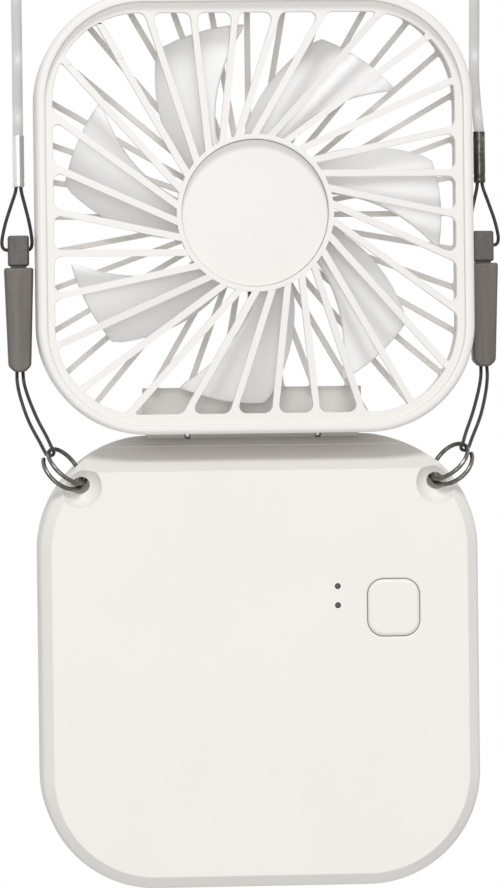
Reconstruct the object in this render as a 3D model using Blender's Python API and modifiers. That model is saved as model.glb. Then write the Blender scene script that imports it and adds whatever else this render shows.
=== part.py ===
"""A square folding fan that hangs from the neck.

A fan head is hinged to the top rear edge of a battery body, and a lanyard is clipped to split
rings in the body's top corners. Metres, +Z up, fronts face -Y. The origin is the top of the neck
cord's loop, where the fan is held. Each shell is drawn in its own face frame, with x right, y up
and z towards the viewer, and an empty turns that frame upright.
"""

import math

import bmesh
import bpy
from mathutils import Matrix, Vector

MM = 0.001

# Fits and drawing aids
seat_gap = 0.3 * MM
small_gap = 0.15 * MM
running_gap = 0.6 * MM
overrun = 1.0 * MM
tiny = 0.001 * MM
corner_steps = 7
round_steps = 24

# Fan head
head_width = 80.0 * MM
head_height = 80.7 * MM
head_depth = 17.0 * MM
head_corner = 19.8 * MM
head_wall = 1.8 * MM
head_lap = 0.75 * MM
lap_depth = 1.5 * MM
front_lip = 0.35 * MM
head_rear_round = 2.2 * MM
front_edge_round = 0.8 * MM

# Front grille
front_frame_depth = 5.7 * MM
rim_land = 1.75 * MM
rim_rise = 1.4 * MM
opening_width = 73.7 * MM
opening_height = 73.3 * MM
opening_corner = 15.9 * MM
grille_thickness = 1.5 * MM
spoke_count = 30
spoke_width = 1.25 * MM
spoke_lean = 7.2 * MM
spoke_turn = -0.3
slot_fillet = 1.4 * MM
hub_ring_width = 1.6 * MM
hub_disc_radius = 13.4 * MM
hub_disc_drop = 1.3 * MM
hub_disc_thickness = 1.0 * MM
hub_seat_width = 1.2 * MM
hub_seat_thickness = 0.6 * MM

# Rear grille and motor base
rear_floor = 1.6 * MM
rear_spoke_count = 36
rear_spoke_width = 1.0 * MM
rear_spoke_turn = 0.0
slot_inset = 1.95 * MM
rear_slot_fillet = 0.6 * MM
rear_hub_radius = 13.2 * MM
bearing_tube_wall = 0.9 * MM

# Impeller and motor
blade_count = 7
blade_turn = 2.4
blade_sweep = 29.0
blade_chord = 28.0
blade_thickness = 1.1 * MM
impeller_radius = 34.8 * MM
hub_radius = 12.6 * MM
hub_wall = 1.0 * MM
blade_low = 4.4 * MM
blade_high = 11.4 * MM
blade_tip_share = 0.62
yoke_wall = 0.6 * MM
magnet_wall = 1.4 * MM
shaft_radius = 0.9 * MM
bush_wall = 0.9 * MM
bush_length = 2.2 * MM
board_thickness = 0.8 * MM
board_margin = 1.0 * MM
pole_count = 6
pole_neck = 2.4 * MM
pole_shoe = 1.2 * MM
coil_wall = 0.8 * MM
lead_diameter = 1.0 * MM

# Hinge
hinge_proud = 0.4 * MM
barrel_radius = 2.8 * MM
barrel_half_width = 11.5 * MM
knuckle_width = 7.0 * MM
washer_thickness = 0.6 * MM
washer_radius = 2.4 * MM
pin_radius = 1.1 * MM
pin_inside = 6.0 * MM
housing_half_width = 20.3 * MM
housing_height = 8.1 * MM
housing_depth = 4.6 * MM

# Battery body
body_width = 80.6 * MM
body_height = 82.8 * MM
body_depth = 17.0 * MM
body_top_corner = 21.1 * MM
body_bottom_corner = 20.8 * MM
body_wall = 2.0 * MM
body_edge = 2.8 * MM
body_rear_edge = 1.4 * MM
rear_cover_depth = 6.0 * MM
shelf_drop = 6.5 * MM
shelf_foot = 1.0 * MM
cavity_top = 9.3 * MM
cavity_corner = 26.0 * MM

# Eyelets and split rings
eyelet_inset = 7.6 * MM
eyelet_drop = 9.35 * MM
dish_radius = 3.9 * MM
dish_depth = 2.4 * MM
ring_radius = 4.25 * MM
ring_wire = 0.8 * MM
ring_split = 0.64 * MM
ring_splay = 0.35 * MM
ring_inset = 4.9 * MM
ring_drop = 6.05 * MM
ring_level = 14.1 * MM
tunnel_radius = 1.75 * MM

# Power button and status lights
button_width = 9.8 * MM
button_height = 10.3 * MM
button_corner = 3.0 * MM
button_side = 24.4 * MM
button_drop = 32.2 * MM
button_gap = 0.4 * MM
button_proud = 0.3 * MM
button_flange = 1.0 * MM
button_plate = 1.1 * MM
button_travel = 0.5 * MM
stem_radius = 1.8 * MM
light_radius = 0.4 * MM
light_side = 14.15 * MM
light_drop = 28.15 * MM
light_pitch = 3.5 * MM
light_bar = 1.2 * MM

# Inside the body
circuit_left = 35.0 * MM
circuit_right = 31.0 * MM
circuit_top = 17.4 * MM
circuit_bottom = 37.4 * MM
circuit_corner = 12.0 * MM
circuit_thickness = 1.0 * MM
circuit_level = 7.0 * MM
support_radius = 1.5 * MM
switch_size = 6.0 * MM
switch_height = 3.2 * MM
plunger_radius = 1.7 * MM
plunger_length = 2.1 * MM
led_length = 1.6 * MM
led_width = 0.8 * MM
led_height = 0.7 * MM
socket_drop = 29.4 * MM
socket_width = 8.9 * MM
socket_height = 3.2 * MM
socket_length = 7.3 * MM
socket_wall = 0.3 * MM
battery_width = 52.0 * MM
battery_height = 38.0 * MM
battery_thickness = 8.0 * MM
battery_corner = 2.0 * MM
battery_lift = 5.0 * MM

# Screws
screw_shank = 0.7 * MM
screw_head = 1.3 * MM
screw_head_height = 1.0 * MM
body_screw_length = 8.0 * MM
body_post_radius = 2.6 * MM
top_post_side = 20.0 * MM
top_post_drop = 13.9 * MM
bottom_post_inset = 3.0 * MM

# Lanyard
clip_clearance = 0.35 * MM
clip_width = 5.4 * MM
clip_foot_width = 4.3 * MM
clip_thickness = 4.0 * MM
clip_chin = 1.3 * MM
clip_round = 0.5 * MM
clip_bottom = 11.7 * MM
clip_top = 30.9 * MM
tongue_width = 3.9 * MM
tongue_thickness = 3.4 * MM
tongue_height = 5.65 * MM
tongue_blade_width = 2.9 * MM
tongue_blade_thickness = 1.8 * MM
tongue_blade_length = 12.0 * MM
tongue_hole = 0.95 * MM
tongue_hole_drop = 2.7 * MM
string_diameter = 0.65 * MM
upper_loop_bulge = 0.5 * MM
upper_loop_shares = (
    (0.0, 1.0), (0.08, 0.88), (0.42, 0.66), (0.78, 0.42), (1.0, 0.21), (1.04, 0.09), (0.86, 0.015),
)
sleeve_radius = 1.1 * MM
sleeve_length = 9.5 * MM
sleeve_bottom = 45.75 * MM
sleeve_edge = 0.3 * MM
cord_diameter = 1.9 * MM
left_cord_reach = 42.85 * MM
right_cord_reach = 42.65 * MM
loop_height = 67.1 * MM
lanyard_setback = 4.5 * MM
cord_lean = 0.8 * MM

# Levels of the head, measured towards the viewer from its rear face
grille_front = head_depth - rim_rise
grille_back = grille_front - grille_thickness
head_parting = head_depth - front_frame_depth
disc_front = grille_front - hub_disc_drop
disc_back = disc_front - hub_disc_thickness
hub_ring_back = disc_back - seat_gap - hub_seat_thickness
hub_front = hub_ring_back - running_gap
hub_plate_back = hub_front - hub_wall
hub_back = rear_floor + seat_gap + lead_diameter + seat_gap
yoke_front = hub_plate_back - small_gap
yoke_back = yoke_front - yoke_wall
yoke_radius = hub_radius - hub_wall - small_gap
magnet_radius = yoke_radius - yoke_wall - small_gap
magnet_top = yoke_back - seat_gap
board_top = rear_floor + seat_gap + board_thickness
coil_bottom = board_top + seat_gap
coil_top = magnet_top - running_gap
stator_bottom = coil_bottom + coil_wall
stator_top = coil_top - coil_wall
stator_radius = magnet_radius - magnet_wall - seat_gap
tube_bore = shaft_radius + small_gap + bush_wall + small_gap
tube_radius = tube_bore + bearing_tube_wall
tube_top = coil_top
head_centre = seat_gap - front_lip + head_height / 2
hub_recess = hub_disc_radius + seat_gap
hub_ring_radius = hub_recess + hub_ring_width

# Levels of the body and places on the lanyard
body_top = seat_gap
body_bottom = body_top + body_height
circuit_front = circuit_level + circuit_thickness
switch_top = circuit_front + seat_gap + switch_height
plunger_bottom = switch_top - switch_height / 3
plunger_top = plunger_bottom + plunger_length
front_inside = body_depth - body_wall
clip_reach = head_width / 2 + clip_clearance + clip_width / 2
lanyard_level = body_depth / 2 - lanyard_setback
sleeve_top = sleeve_bottom + sleeve_length
hinge_drop = sleeve_top + loop_height


class Workshop:
    """The collections and frames that every piece is placed in."""

    def __init__(self):
        for old in list(bpy.data.objects):
            bpy.data.objects.remove(old, do_unlink=True)
        scene = bpy.context.scene
        self.parts = bpy.data.collections.new("folding_neck_fan")
        self.tools = bpy.data.collections.new("cutters")
        scene.collection.children.link(self.parts)
        scene.collection.children.link(self.tools)
        upright = Matrix.Rotation(math.radians(90), 4, "X")
        at_hinge = Matrix.Translation((0, body_depth / 2, -hinge_drop))
        self.base = self.frame("base_frame", None, at_hinge @ upright)
        axis = Matrix.Translation((0, 0, -hinge_proud))
        self.head = self.frame("head_tilt_axis", self.base, axis)
        centre = Matrix.Translation((0, head_centre, hinge_proud))
        self.fan = self.frame("fan_axis", self.head, centre)
        self.rotor = self.frame("impeller_axis", self.fan, Matrix.Identity(4))
        self.loop = self.frame("neck_loop_frame", self.base, Matrix.Identity(4))

    def frame(self, name, parent, matrix):
        empty = bpy.data.objects.new(name, None)
        empty.parent = parent
        empty.matrix_local = matrix
        self.tools.objects.link(empty)
        return empty


def finish_of(name, colour, roughness, metallic=0.0):
    """A plain material of one colour for one piece."""
    material = bpy.data.materials.new(name)
    material.use_nodes = True
    shader = material.node_tree.nodes["Principled BSDF"]
    shader.inputs["Base Color"].default_value = (*colour, 1.0)
    shader.inputs["Roughness"].default_value = roughness
    shader.inputs["Metallic"].default_value = metallic
    return material


def link(shop, name, data, parent, finish, at=(0, 0, 0)):
    """A finished piece in the parts collection."""
    piece = bpy.data.objects.new(name, data)
    piece.parent = parent
    piece.location = at
    piece.data.materials.append(finish_of(name + "_finish", *finish))
    shop.parts.objects.link(piece)
    return piece


def tool(shop, name, data, parent, at=(0, 0, 0)):
    """A hidden shape that cuts or joins a piece."""
    shape = bpy.data.objects.new(name, data)
    shape.parent = parent
    shape.location = at
    shape.hide_render = True
    shape.display_type = "WIRE"
    shop.tools.objects.link(shape)
    return shape


def boolean(piece, other, operation):
    step = piece.modifiers.new(other.name, "BOOLEAN")
    step.operation = operation
    step.solver = "EXACT"
    step.object = other


def cut(piece, *others):
    for other in others:
        boolean(piece, other, "DIFFERENCE")


def join(piece, *others):
    for other in others:
        boolean(piece, other, "UNION")


def mesh_of(bm, name, smooth=0.0):
    """The bmesh as mesh data, shaded smooth below the given angle."""
    bmesh.ops.recalc_face_normals(bm, faces=bm.faces)
    mesh = bpy.data.meshes.new(name)
    bm.to_mesh(mesh)
    bm.free()
    if smooth:
        mesh.shade_smooth()
        mesh.set_sharp_from_angle(angle=math.radians(smooth))
    return mesh


def arc(x, y, radius, start, stop, steps=corner_steps):
    """Points on a circle from the start angle to the stop angle, in degrees."""
    turns = [math.radians(start + (stop - start) * i / steps) for i in range(steps + 1)]
    return [(x + radius * math.cos(turn), y + radius * math.sin(turn)) for turn in turns]


def rounded_box(left, right, bottom, top, low_corner, high_corner=None, steps=corner_steps):
    """The outline of a box with round corners, anticlockwise from the right."""
    high = low_corner if high_corner is None else high_corner
    outline = arc(right - high, top - high, high, 0, 90, steps)
    outline += arc(left + high, top - high, high, 90, 180, steps)
    outline += arc(left + low_corner, bottom + low_corner, low_corner, 180, 270, steps)
    outline += arc(right - low_corner, bottom + low_corner, low_corner, 270, 360, steps)
    return outline


def head_outline(inset=0.0):
    """The head's outline about its own centre, drawn in by the inset."""
    half_width = head_width / 2 - inset
    half_height = head_height / 2 - inset
    return rounded_box(-half_width, half_width, -half_height, half_height, head_corner - inset)


def shell_outline(inset=0.0):
    """The rear shell's outline, which stops above the front frame's lower lip."""
    half = head_width / 2 - inset
    top = head_height / 2 - inset
    bottom = front_lip - head_height / 2 + inset
    return rounded_box(-half, half, bottom, top, head_corner - inset)


def opening_outline():
    """The opening that the front spokes cross."""
    half = opening_width / 2
    rise = opening_height / 2
    return rounded_box(-half, half, -rise, rise, opening_corner)


def rear_opening():
    """The floor inside the side walls, but above the hinge housing in the middle of the bottom."""
    outline = shell_outline(slot_inset)
    split = 3 * (corner_steps + 1)
    foot = outline[split][1]
    top = housing_top()
    half = housing_half_width
    notch = [(-half, foot), (-half, top), (half, top), (half, foot)]
    return outline[:split] + notch + outline[split:]


def housing_top():
    """The top of the hinge housing, in the fan's frame."""
    return front_lip - head_height / 2 + housing_height


def add_prism(bm, outline, low, high, turn=None):
    """The outline raised from one level to another, as a closed solid in the bmesh."""
    base = bm.faces.new([bm.verts.new((x, y, low)) for x, y in outline])
    grown = bmesh.ops.extrude_face_region(bm, geom=[base])["geom"]
    raised = [item for item in grown if isinstance(item, bmesh.types.BMVert)]
    bmesh.ops.translate(bm, verts=raised, vec=(0, 0, high - low))
    if turn is not None:
        bmesh.ops.transform(bm, matrix=turn, verts=list(base.verts) + raised)


def prism(outline, low, high, turn=None):
    bm = bmesh.new()
    add_prism(bm, outline, low, high, turn)
    bmesh.ops.recalc_face_normals(bm, faces=bm.faces)
    return bm


def add_rod(bm, x, y, radius, low, high, steps=16):
    """A round post that stands on the face frame."""
    length = high - low
    place = Matrix.Translation((x, y, low + length / 2))
    bmesh.ops.create_cone(
        bm, cap_ends=True, segments=steps, radius1=radius, radius2=radius, depth=length, matrix=place
    )


def add_cross_rod(bm, y, z, radius, left, right, steps=16):
    """A round rod that lies along x."""
    length = right - left
    place = Matrix.Translation((left + length / 2, y, z)) @ Matrix.Rotation(math.radians(90), 4, "Y")
    bmesh.ops.create_cone(
        bm, cap_ends=True, segments=steps, radius1=radius, radius2=radius, depth=length, matrix=place
    )


def add_box(bm, left, right, bottom, top, low, high):
    place = Matrix.Translation(((left + right) / 2, (bottom + top) / 2, (low + high) / 2))
    size = Matrix.Diagonal((right - left, top - bottom, high - low, 1.0))
    bmesh.ops.create_cube(bm, size=1.0, matrix=place @ size)


def level_face(bm, level):
    """The largest face that lies at one level."""
    flat = [f for f in bm.faces if all(abs(v.co.z - level) < tiny for v in f.verts)]
    return max(flat, key=lambda face: face.calc_area())


def soften(bm, level, width, segments):
    """Round the edges that lie at one level."""
    edges = [e for e in bm.edges if all(abs(v.co.z - level) < tiny for v in e.verts)]
    bmesh.ops.bevel(
        bm, geom=edges, offset=width, offset_type="OFFSET", segments=segments, profile=0.5,
        affect="EDGES", clamp_overlap=True,
    )


def sink(bm, level, margin, floor):
    """Press the face at one level down to the floor, leaving a margin of land."""
    face = level_face(bm, level)
    bmesh.ops.inset_region(bm, faces=[face], thickness=margin, use_even_offset=True)
    face = level_face(bm, level)
    moved = bmesh.ops.extrude_discrete_faces(bm, faces=[face])["faces"][0]
    bmesh.ops.translate(bm, verts=moved.verts, vec=(0, 0, floor - level))


def turned(shop, name, profile, steps, parent, finish, closed=True):
    """A revolved piece: the profile runs down its outer side and is turned about z."""
    mesh = bpy.data.meshes.new(name)
    count = len(profile)
    edges = [(i, (i + 1) % count) for i in range(count if closed else count - 1)]
    mesh.from_pydata([(radius, 0.0, level) for radius, level in profile], edges, [])
    piece = link(shop, name, mesh, parent, finish)
    screw = piece.modifiers.new("turn", "SCREW")
    screw.axis = "Z"
    screw.steps = steps
    screw.render_steps = steps
    screw.use_merge_vertices = True
    screw.merge_threshold = tiny
    screw.use_smooth_shade = True
    return piece


def ring_profile(outer, inner, low, high):
    return [(outer, high), (outer, low), (inner, low), (inner, high)]


def smooth_path(points, spacing):
    """Points about a spacing apart on one smooth curve through the given points."""
    knots = [Vector(point) for point in points]
    ends = [2 * knots[0] - knots[1]] + knots + [2 * knots[-1] - knots[-2]]
    path = []
    for a, b, c, d in zip(ends, ends[1:], ends[2:], ends[3:]):
        steps = max(1, round((c - b).length / spacing))
        for i in range(steps):
            t = i / steps
            bend = (2 * a - 5 * b + 4 * c - d) * t * t + (3 * b - a - 3 * c + d) * t ** 3
            path.append((2 * b + (c - a) * t + bend) / 2)
    path.append(knots[-1])
    return path


def tube(shop, name, path, diameter, parent, finish, resolution=2):
    """A round wire or cord along the path."""
    curve = bpy.data.curves.new(name, "CURVE")
    curve.dimensions = "3D"
    curve.bevel_depth = diameter / 2
    curve.bevel_resolution = resolution
    curve.use_fill_caps = True
    line = curve.splines.new("POLY")
    line.points.add(len(path) - 1)
    for point, place in zip(line.points, path):
        point.co = (*place, 1.0)
    line.use_smooth = True
    return link(shop, name, curve, parent, finish)


CORNERS = ("lower_left", "upper_left", "lower_right", "upper_right")
SIDES = ((-1, "left"), (1, "right"))

# Finishes: colour, roughness, metallic
WHITE_SHELL = ((0.84, 0.82, 0.79), 0.45)
WHITE_GLOSS = ((0.88, 0.87, 0.84), 0.32)
STEEL = ((0.62, 0.62, 0.62), 0.3, 1.0)
DARK_STEEL = ((0.12, 0.12, 0.11), 0.28, 1.0)
DARK_PLASTIC = ((0.11, 0.10, 0.09), 0.4)
BLACK_STRING = ((0.02, 0.02, 0.02), 0.7)
COPPER = ((0.72, 0.35, 0.16), 0.35, 1.0)
BRONZE = ((0.5, 0.34, 0.18), 0.4, 1.0)
CIRCUIT_GREEN = ((0.02, 0.16, 0.08), 0.45)
MAGNET_GREY = ((0.09, 0.09, 0.1), 0.5)
CORD_WHITE = ((0.86, 0.85, 0.83), 0.75)
CELL_SILVER = ((0.55, 0.56, 0.58), 0.35, 0.6)
LIGHT_GREY = ((0.25, 0.25, 0.26), 0.3)


def reach_to_outline(outline, point, direction):
    """The place where a ray from inside meets the outline."""
    best = None
    for (ax, ay), (bx, by) in zip(outline, outline[1:] + outline[:1]):
        ex, ey = bx - ax, by - ay
        across = direction[0] * ey - direction[1] * ex
        if abs(across) < tiny * tiny:
            continue
        away = ((ax - point[0]) * ey - (ay - point[1]) * ex) / across
        along = ((ax - point[0]) * direction[1] - (ay - point[1]) * direction[0]) / across
        if away > 0 and 0 <= along <= 1 and (best is None or away > best):
            best = away
    return point[0] + direction[0] * best, point[1] + direction[1] * best


def eased_corner(before, corner, after, radius, steps=2):
    """A corner of an outline, rounded by a short curve."""
    corner = Vector(corner)
    back = Vector(before) - corner
    ahead = Vector(after) - corner
    half = back.angle(ahead) / 2
    reach = min(radius / math.tan(half), back.length / 2.2, ahead.length / 2.2)
    start = corner + back.normalized() * reach
    stop = corner + ahead.normalized() * reach
    shares = [i / steps for i in range(steps + 1)]
    return [tuple(start * (1 - s) ** 2 + corner * 2 * s * (1 - s) + stop * s * s) for s in shares]


def slot_outline(outline, inner_radius, lean, width, turn, pitch, fillet):
    """One slot between two spokes, from the hub ring out to the frame."""
    sides = 3
    inner = []
    outer = []
    for i in range(sides + 1):
        share = i / sides
        angle = math.radians(turn + pitch * share)
        offset = lean + width * (0.5 - share)
        along = (math.cos(angle), math.sin(angle))
        foot = (-offset * along[1], offset * along[0])
        run = math.sqrt(inner_radius ** 2 - offset ** 2)
        if i in (0, sides):
            inner.append((foot[0] + run * along[0], foot[1] + run * along[1]))
        outer.append(reach_to_outline(outline, foot, along))
    first = eased_corner(inner[0], outer[0], outer[1], fillet)
    last = eased_corner(outer[-2], outer[-1], inner[-1], fillet)
    return first + outer[1:-1] + last + inner[::-1]


def slots(shop, name, count, turn, outline, inner_radius, lean, width, fillet, low, high):
    """The cutter for a whole ring of slots between spokes."""
    bm = bmesh.new()
    pitch = 360 / count
    for i in range(count):
        shape = slot_outline(outline, inner_radius, lean, width, turn + pitch * i, pitch, fillet)
        add_prism(bm, shape, low, high)
    return tool(shop, name, mesh_of(bm, name), shop.fan)


def make_front_grille(shop):
    """The front frame with its raised rim, leaning spokes and hub ring."""
    low = head_parting - lap_depth
    bm = prism(head_outline(), low, head_depth)
    soften(bm, head_depth, front_edge_round, 2)
    sink(bm, head_depth, rim_land - front_edge_round, grille_front)
    piece = link(shop, "front_grille", mesh_of(bm, "front_grille", 35), shop.fan, WHITE_GLOSS)
    lap = prism(shell_outline(head_lap), low - overrun, head_parting)
    cut(piece, tool(shop, "front_lap", mesh_of(lap, "front_lap"), shop.fan))
    room = prism(shell_outline(head_wall), low - overrun, grille_back)
    cut(piece, tool(shop, "front_room", mesh_of(room, "front_room"), shop.fan))
    cut(piece, slots(
        shop, "front_slots", spoke_count, spoke_turn, opening_outline(), hub_ring_radius, spoke_lean,
        spoke_width, slot_fillet, grille_back - overrun, grille_front + overrun,
    ))
    solid = bmesh.new()
    add_rod(solid, 0, 0, hub_ring_radius, hub_ring_back, grille_front - tiny, 2 * round_steps)
    join(piece, tool(shop, "hub_ring_solid", mesh_of(solid, "hub_ring_solid"), shop.fan))
    bore = bmesh.new()
    add_rod(bore, 0, 0, hub_recess, disc_back - seat_gap, head_depth, 2 * round_steps)
    cut(piece, tool(shop, "hub_recess_tool", mesh_of(bore, "hub_recess_tool"), shop.fan))
    hole = bmesh.new()
    eye = hub_recess - hub_seat_width
    add_rod(hole, 0, 0, eye, hub_ring_back - overrun, disc_front, 2 * round_steps)
    cut(piece, tool(shop, "hub_eye_tool", mesh_of(hole, "hub_eye_tool"), shop.fan))


def make_hub_disc(shop):
    rim = hub_disc_radius - seat_gap
    profile = [
        (0, disc_front), (rim, disc_front), (hub_disc_radius, disc_front - seat_gap),
        (hub_disc_radius, disc_back), (0, disc_back),
    ]
    turned(shop, "hub_disc", profile, 2 * round_steps, shop.fan, WHITE_GLOSS, closed=False)


def make_rear_shell(shop):
    """The rear housing: a shallow tray with straight spokes and the hinge housing."""
    top = head_parting - seat_gap
    step = head_parting - lap_depth - seat_gap
    lap = head_lap + seat_gap
    bm = prism(shell_outline(), 0, step)
    soften(bm, 0, head_rear_round, 3)
    sink(bm, step, lap, top)
    sink(bm, top, head_wall - lap, rear_floor)
    name = "rear_grille_shell"
    piece = link(shop, name, mesh_of(bm, name, 35), shop.fan, WHITE_SHELL)
    cut(piece, slots(
        shop, "rear_slots", rear_spoke_count, rear_spoke_turn, rear_opening(), rear_hub_radius,
        0.0, rear_spoke_width, rear_slot_fillet, -overrun, rear_floor + overrun,
    ))
    solid = bmesh.new()
    add_rod(solid, 0, 0, tube_radius, rear_floor / 2, tube_top, round_steps)
    join(piece, tool(shop, "bearing_tube", mesh_of(solid, "bearing_tube"), shop.fan))
    housing = bmesh.new()
    inner = housing_top()
    outer = inner - housing_height + rear_floor / 2
    half = housing_half_width
    outline = rounded_box(-half, half, outer, inner, tiny, rear_slot_fillet, 4)
    add_prism(housing, outline, rear_floor / 2, housing_depth)
    join(piece, tool(shop, "hinge_housing", mesh_of(housing, "hinge_housing"), shop.fan))
    holes = bmesh.new()
    add_rod(holes, 0, 0, tube_bore, rear_floor + small_gap, tube_top + overrun, round_steps)
    lead_end = inner - lead_diameter
    sag = (inner - overrun) * math.tan(math.radians(rear_spoke_turn))
    add_box(
        holes, -sag - lead_diameter, -sag + lead_diameter, lead_end, inner + overrun,
        rear_floor, rear_floor + lead_diameter + 2 * seat_gap,
    )
    cut(piece, tool(shop, "shell_holes", mesh_of(holes, "shell_holes"), shop.fan))
    make_head_barrel(shop, piece)


def make_head_barrel(shop, shell):
    """Join the middle barrel to the head, and clear the body's two knuckles."""
    axis_y = -head_centre
    axis_z = -hinge_proud
    clear = bmesh.new()
    inner = barrel_half_width + small_gap
    outer = barrel_half_width + washer_thickness + 2 * seat_gap + knuckle_width + seat_gap
    for side in (-1, 1):
        ends = sorted((side * inner, side * outer))
        add_cross_rod(clear, axis_y, axis_z, barrel_radius + running_gap, *ends, round_steps)
    cut(shell, tool(shop, "knuckle_room", mesh_of(clear, "knuckle_room"), shop.fan))
    barrel = bmesh.new()
    add_cross_rod(barrel, axis_y, axis_z, barrel_radius, -inner, inner, round_steps)
    join(shell, tool(shop, "head_barrel", mesh_of(barrel, "head_barrel"), shop.fan))
    bores = bmesh.new()
    for side in (-1, 1):
        ends = sorted((side * (inner - pin_inside), side * (inner + overrun)))
        add_cross_rod(bores, axis_y, axis_z, pin_radius + small_gap, *ends)
    cut(shell, tool(shop, "barrel_bores", mesh_of(bores, "barrel_bores"), shop.fan))


def make_screws(shop, name, places, length, parent):
    """Pan-head screws driven towards the viewer."""
    low = small_gap
    neck = low + screw_head_height
    profile = [
        (0, low + length), (screw_shank, low + length), (screw_shank, neck), (screw_head, neck),
        (screw_head, low + seat_gap), (screw_head - seat_gap, low), (0, low),
    ]
    for (x, y), label in zip(places, CORNERS):
        screw = turned(shop, name + "_" + label, profile, 12, parent, STEEL, closed=False)
        screw.location = (x, y, 0)


def make_impeller(shop):
    """The hub cup and seven sickle blades."""
    inside = hub_radius - hub_wall
    eye = shaft_radius + small_gap
    profile = [
        (hub_radius, hub_front - seat_gap), (hub_radius, hub_back), (inside, hub_back),
        (inside, hub_plate_back), (eye, hub_plate_back), (eye, hub_front),
        (hub_radius - seat_gap, hub_front),
    ]
    hub = turned(shop, "impeller", profile, 2 * round_steps, shop.rotor, WHITE_GLOSS)
    root = hub_radius - hub_wall / 2
    span = impeller_radius - root
    chord_shares = (1.0, 0.5, 0.0, -0.5, -1.0)
    span_shares = (0.0, 0.2, 0.4, 0.6, 0.8, 0.94, 1.0)
    round_shares = (1.0, 1.0, 1.0, 1.0, 1.0, 1.0, 0.95)
    middle = (blade_low + blade_high) / 2
    bm = bmesh.new()
    for index in range(blade_count):
        rows = []
        for share, taper in zip(span_shares, round_shares):
            radius = root + span * share
            sweep = blade_turn + index * 360 / blade_count + blade_sweep * (1 - share)
            rise = (blade_high - blade_low) / 2 * (1 - (1 - blade_tip_share) * share)
            row = []
            for place in chord_shares:
                angle = math.radians(sweep + blade_chord / 2 * place * taper)
                camber = blade_thickness * (1 - place * place) * share
                level = middle - place * rise + camber
                row.append(bm.verts.new((radius * math.cos(angle), radius * math.sin(angle), level)))
            rows.append(row)
        for near, far in zip(rows, rows[1:]):
            for i in range(len(chord_shares) - 1):
                bm.faces.new((near[i], near[i + 1], far[i + 1], far[i]))
    blades = tool(shop, "blade_sheets", mesh_of(bm, "blade_sheets"), shop.rotor)
    wall = blades.modifiers.new("thickness", "SOLIDIFY")
    wall.thickness = blade_thickness
    wall.offset = 0.0
    join(hub, blades)


def make_motor(shop):
    """The motor inside the hub: rotor pieces turn with the impeller, the rest stays."""
    eye = shaft_radius + small_gap
    inside = yoke_radius - yoke_wall
    profile = [
        (yoke_radius, yoke_front), (yoke_radius, hub_back + seat_gap),
        (inside, hub_back + seat_gap), (inside, yoke_back), (eye, yoke_back), (eye, yoke_front),
    ]
    turned(shop, "rotor_yoke", profile, round_steps, shop.rotor, STEEL)
    magnet = ring_profile(magnet_radius, magnet_radius - magnet_wall, hub_back + seat_gap, magnet_top)
    turned(shop, "magnet_ring", magnet, round_steps, shop.rotor, MAGNET_GREY)
    foot = rear_floor + 2 * small_gap
    tip = hub_front - small_gap
    shaft = [(0, tip), (shaft_radius, tip), (shaft_radius, foot), (0, foot)]
    turned(shop, "motor_shaft", shaft, 16, shop.rotor, STEEL, closed=False)
    outer = tube_bore - small_gap
    for name, low in (("rear", foot + small_gap), ("front", tube_top - bush_length - small_gap)):
        bush = ring_profile(outer, eye, low, low + bush_length)
        turned(shop, "motor_bush_" + name, bush, round_steps, shop.fan, BRONZE)
    board_low = rear_floor + seat_gap
    edge = yoke_radius - board_margin
    board = ring_profile(edge, tube_radius + seat_gap, board_low, board_top)
    turned(shop, "motor_board", board, round_steps, shop.fan, CIRCUIT_GREEN)
    make_stator(shop)
    start = edge + seat_gap
    stop = -housing_top() + seat_gap - lead_diameter
    level = rear_floor + seat_gap + lead_diameter / 2
    turn = math.radians(270 + rear_spoke_turn)
    way = Vector((math.cos(turn), math.sin(turn), 0))
    steps = round((stop - start) / (3 * lead_diameter))
    reaches = [start + (stop - start) * i / steps for i in range(steps + 1)]
    path = [way * reach + Vector((0, 0, level)) for reach in reaches]
    tube(shop, "motor_lead", path, lead_diameter, shop.fan, DARK_PLASTIC)


def stator_outline():
    """Six poles with wide shoes round a core."""
    core = tube_radius + seat_gap + pole_neck / 2
    shoe_inner = stator_radius - pole_shoe
    pitch = 360 / pole_count
    shoe_half = pitch * 0.38
    outline = []
    for index in range(pole_count):
        turn = pitch * index
        neck_in = math.degrees(math.asin(pole_neck / 2 / core))
        neck_out = math.degrees(math.asin(pole_neck / 2 / shoe_inner))
        outline += arc(0, 0, core, turn - neck_in, turn - neck_in, 1)[:1]
        outline += arc(0, 0, shoe_inner, turn - neck_out, turn - neck_out, 1)[:1]
        outline += arc(0, 0, stator_radius, turn - shoe_half, turn + shoe_half, 4)
        outline += arc(0, 0, shoe_inner, turn + neck_out, turn + neck_out, 1)[:1]
        outline += arc(0, 0, core, turn + neck_in, turn + neck_in, 1)[:1]
    return outline


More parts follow.
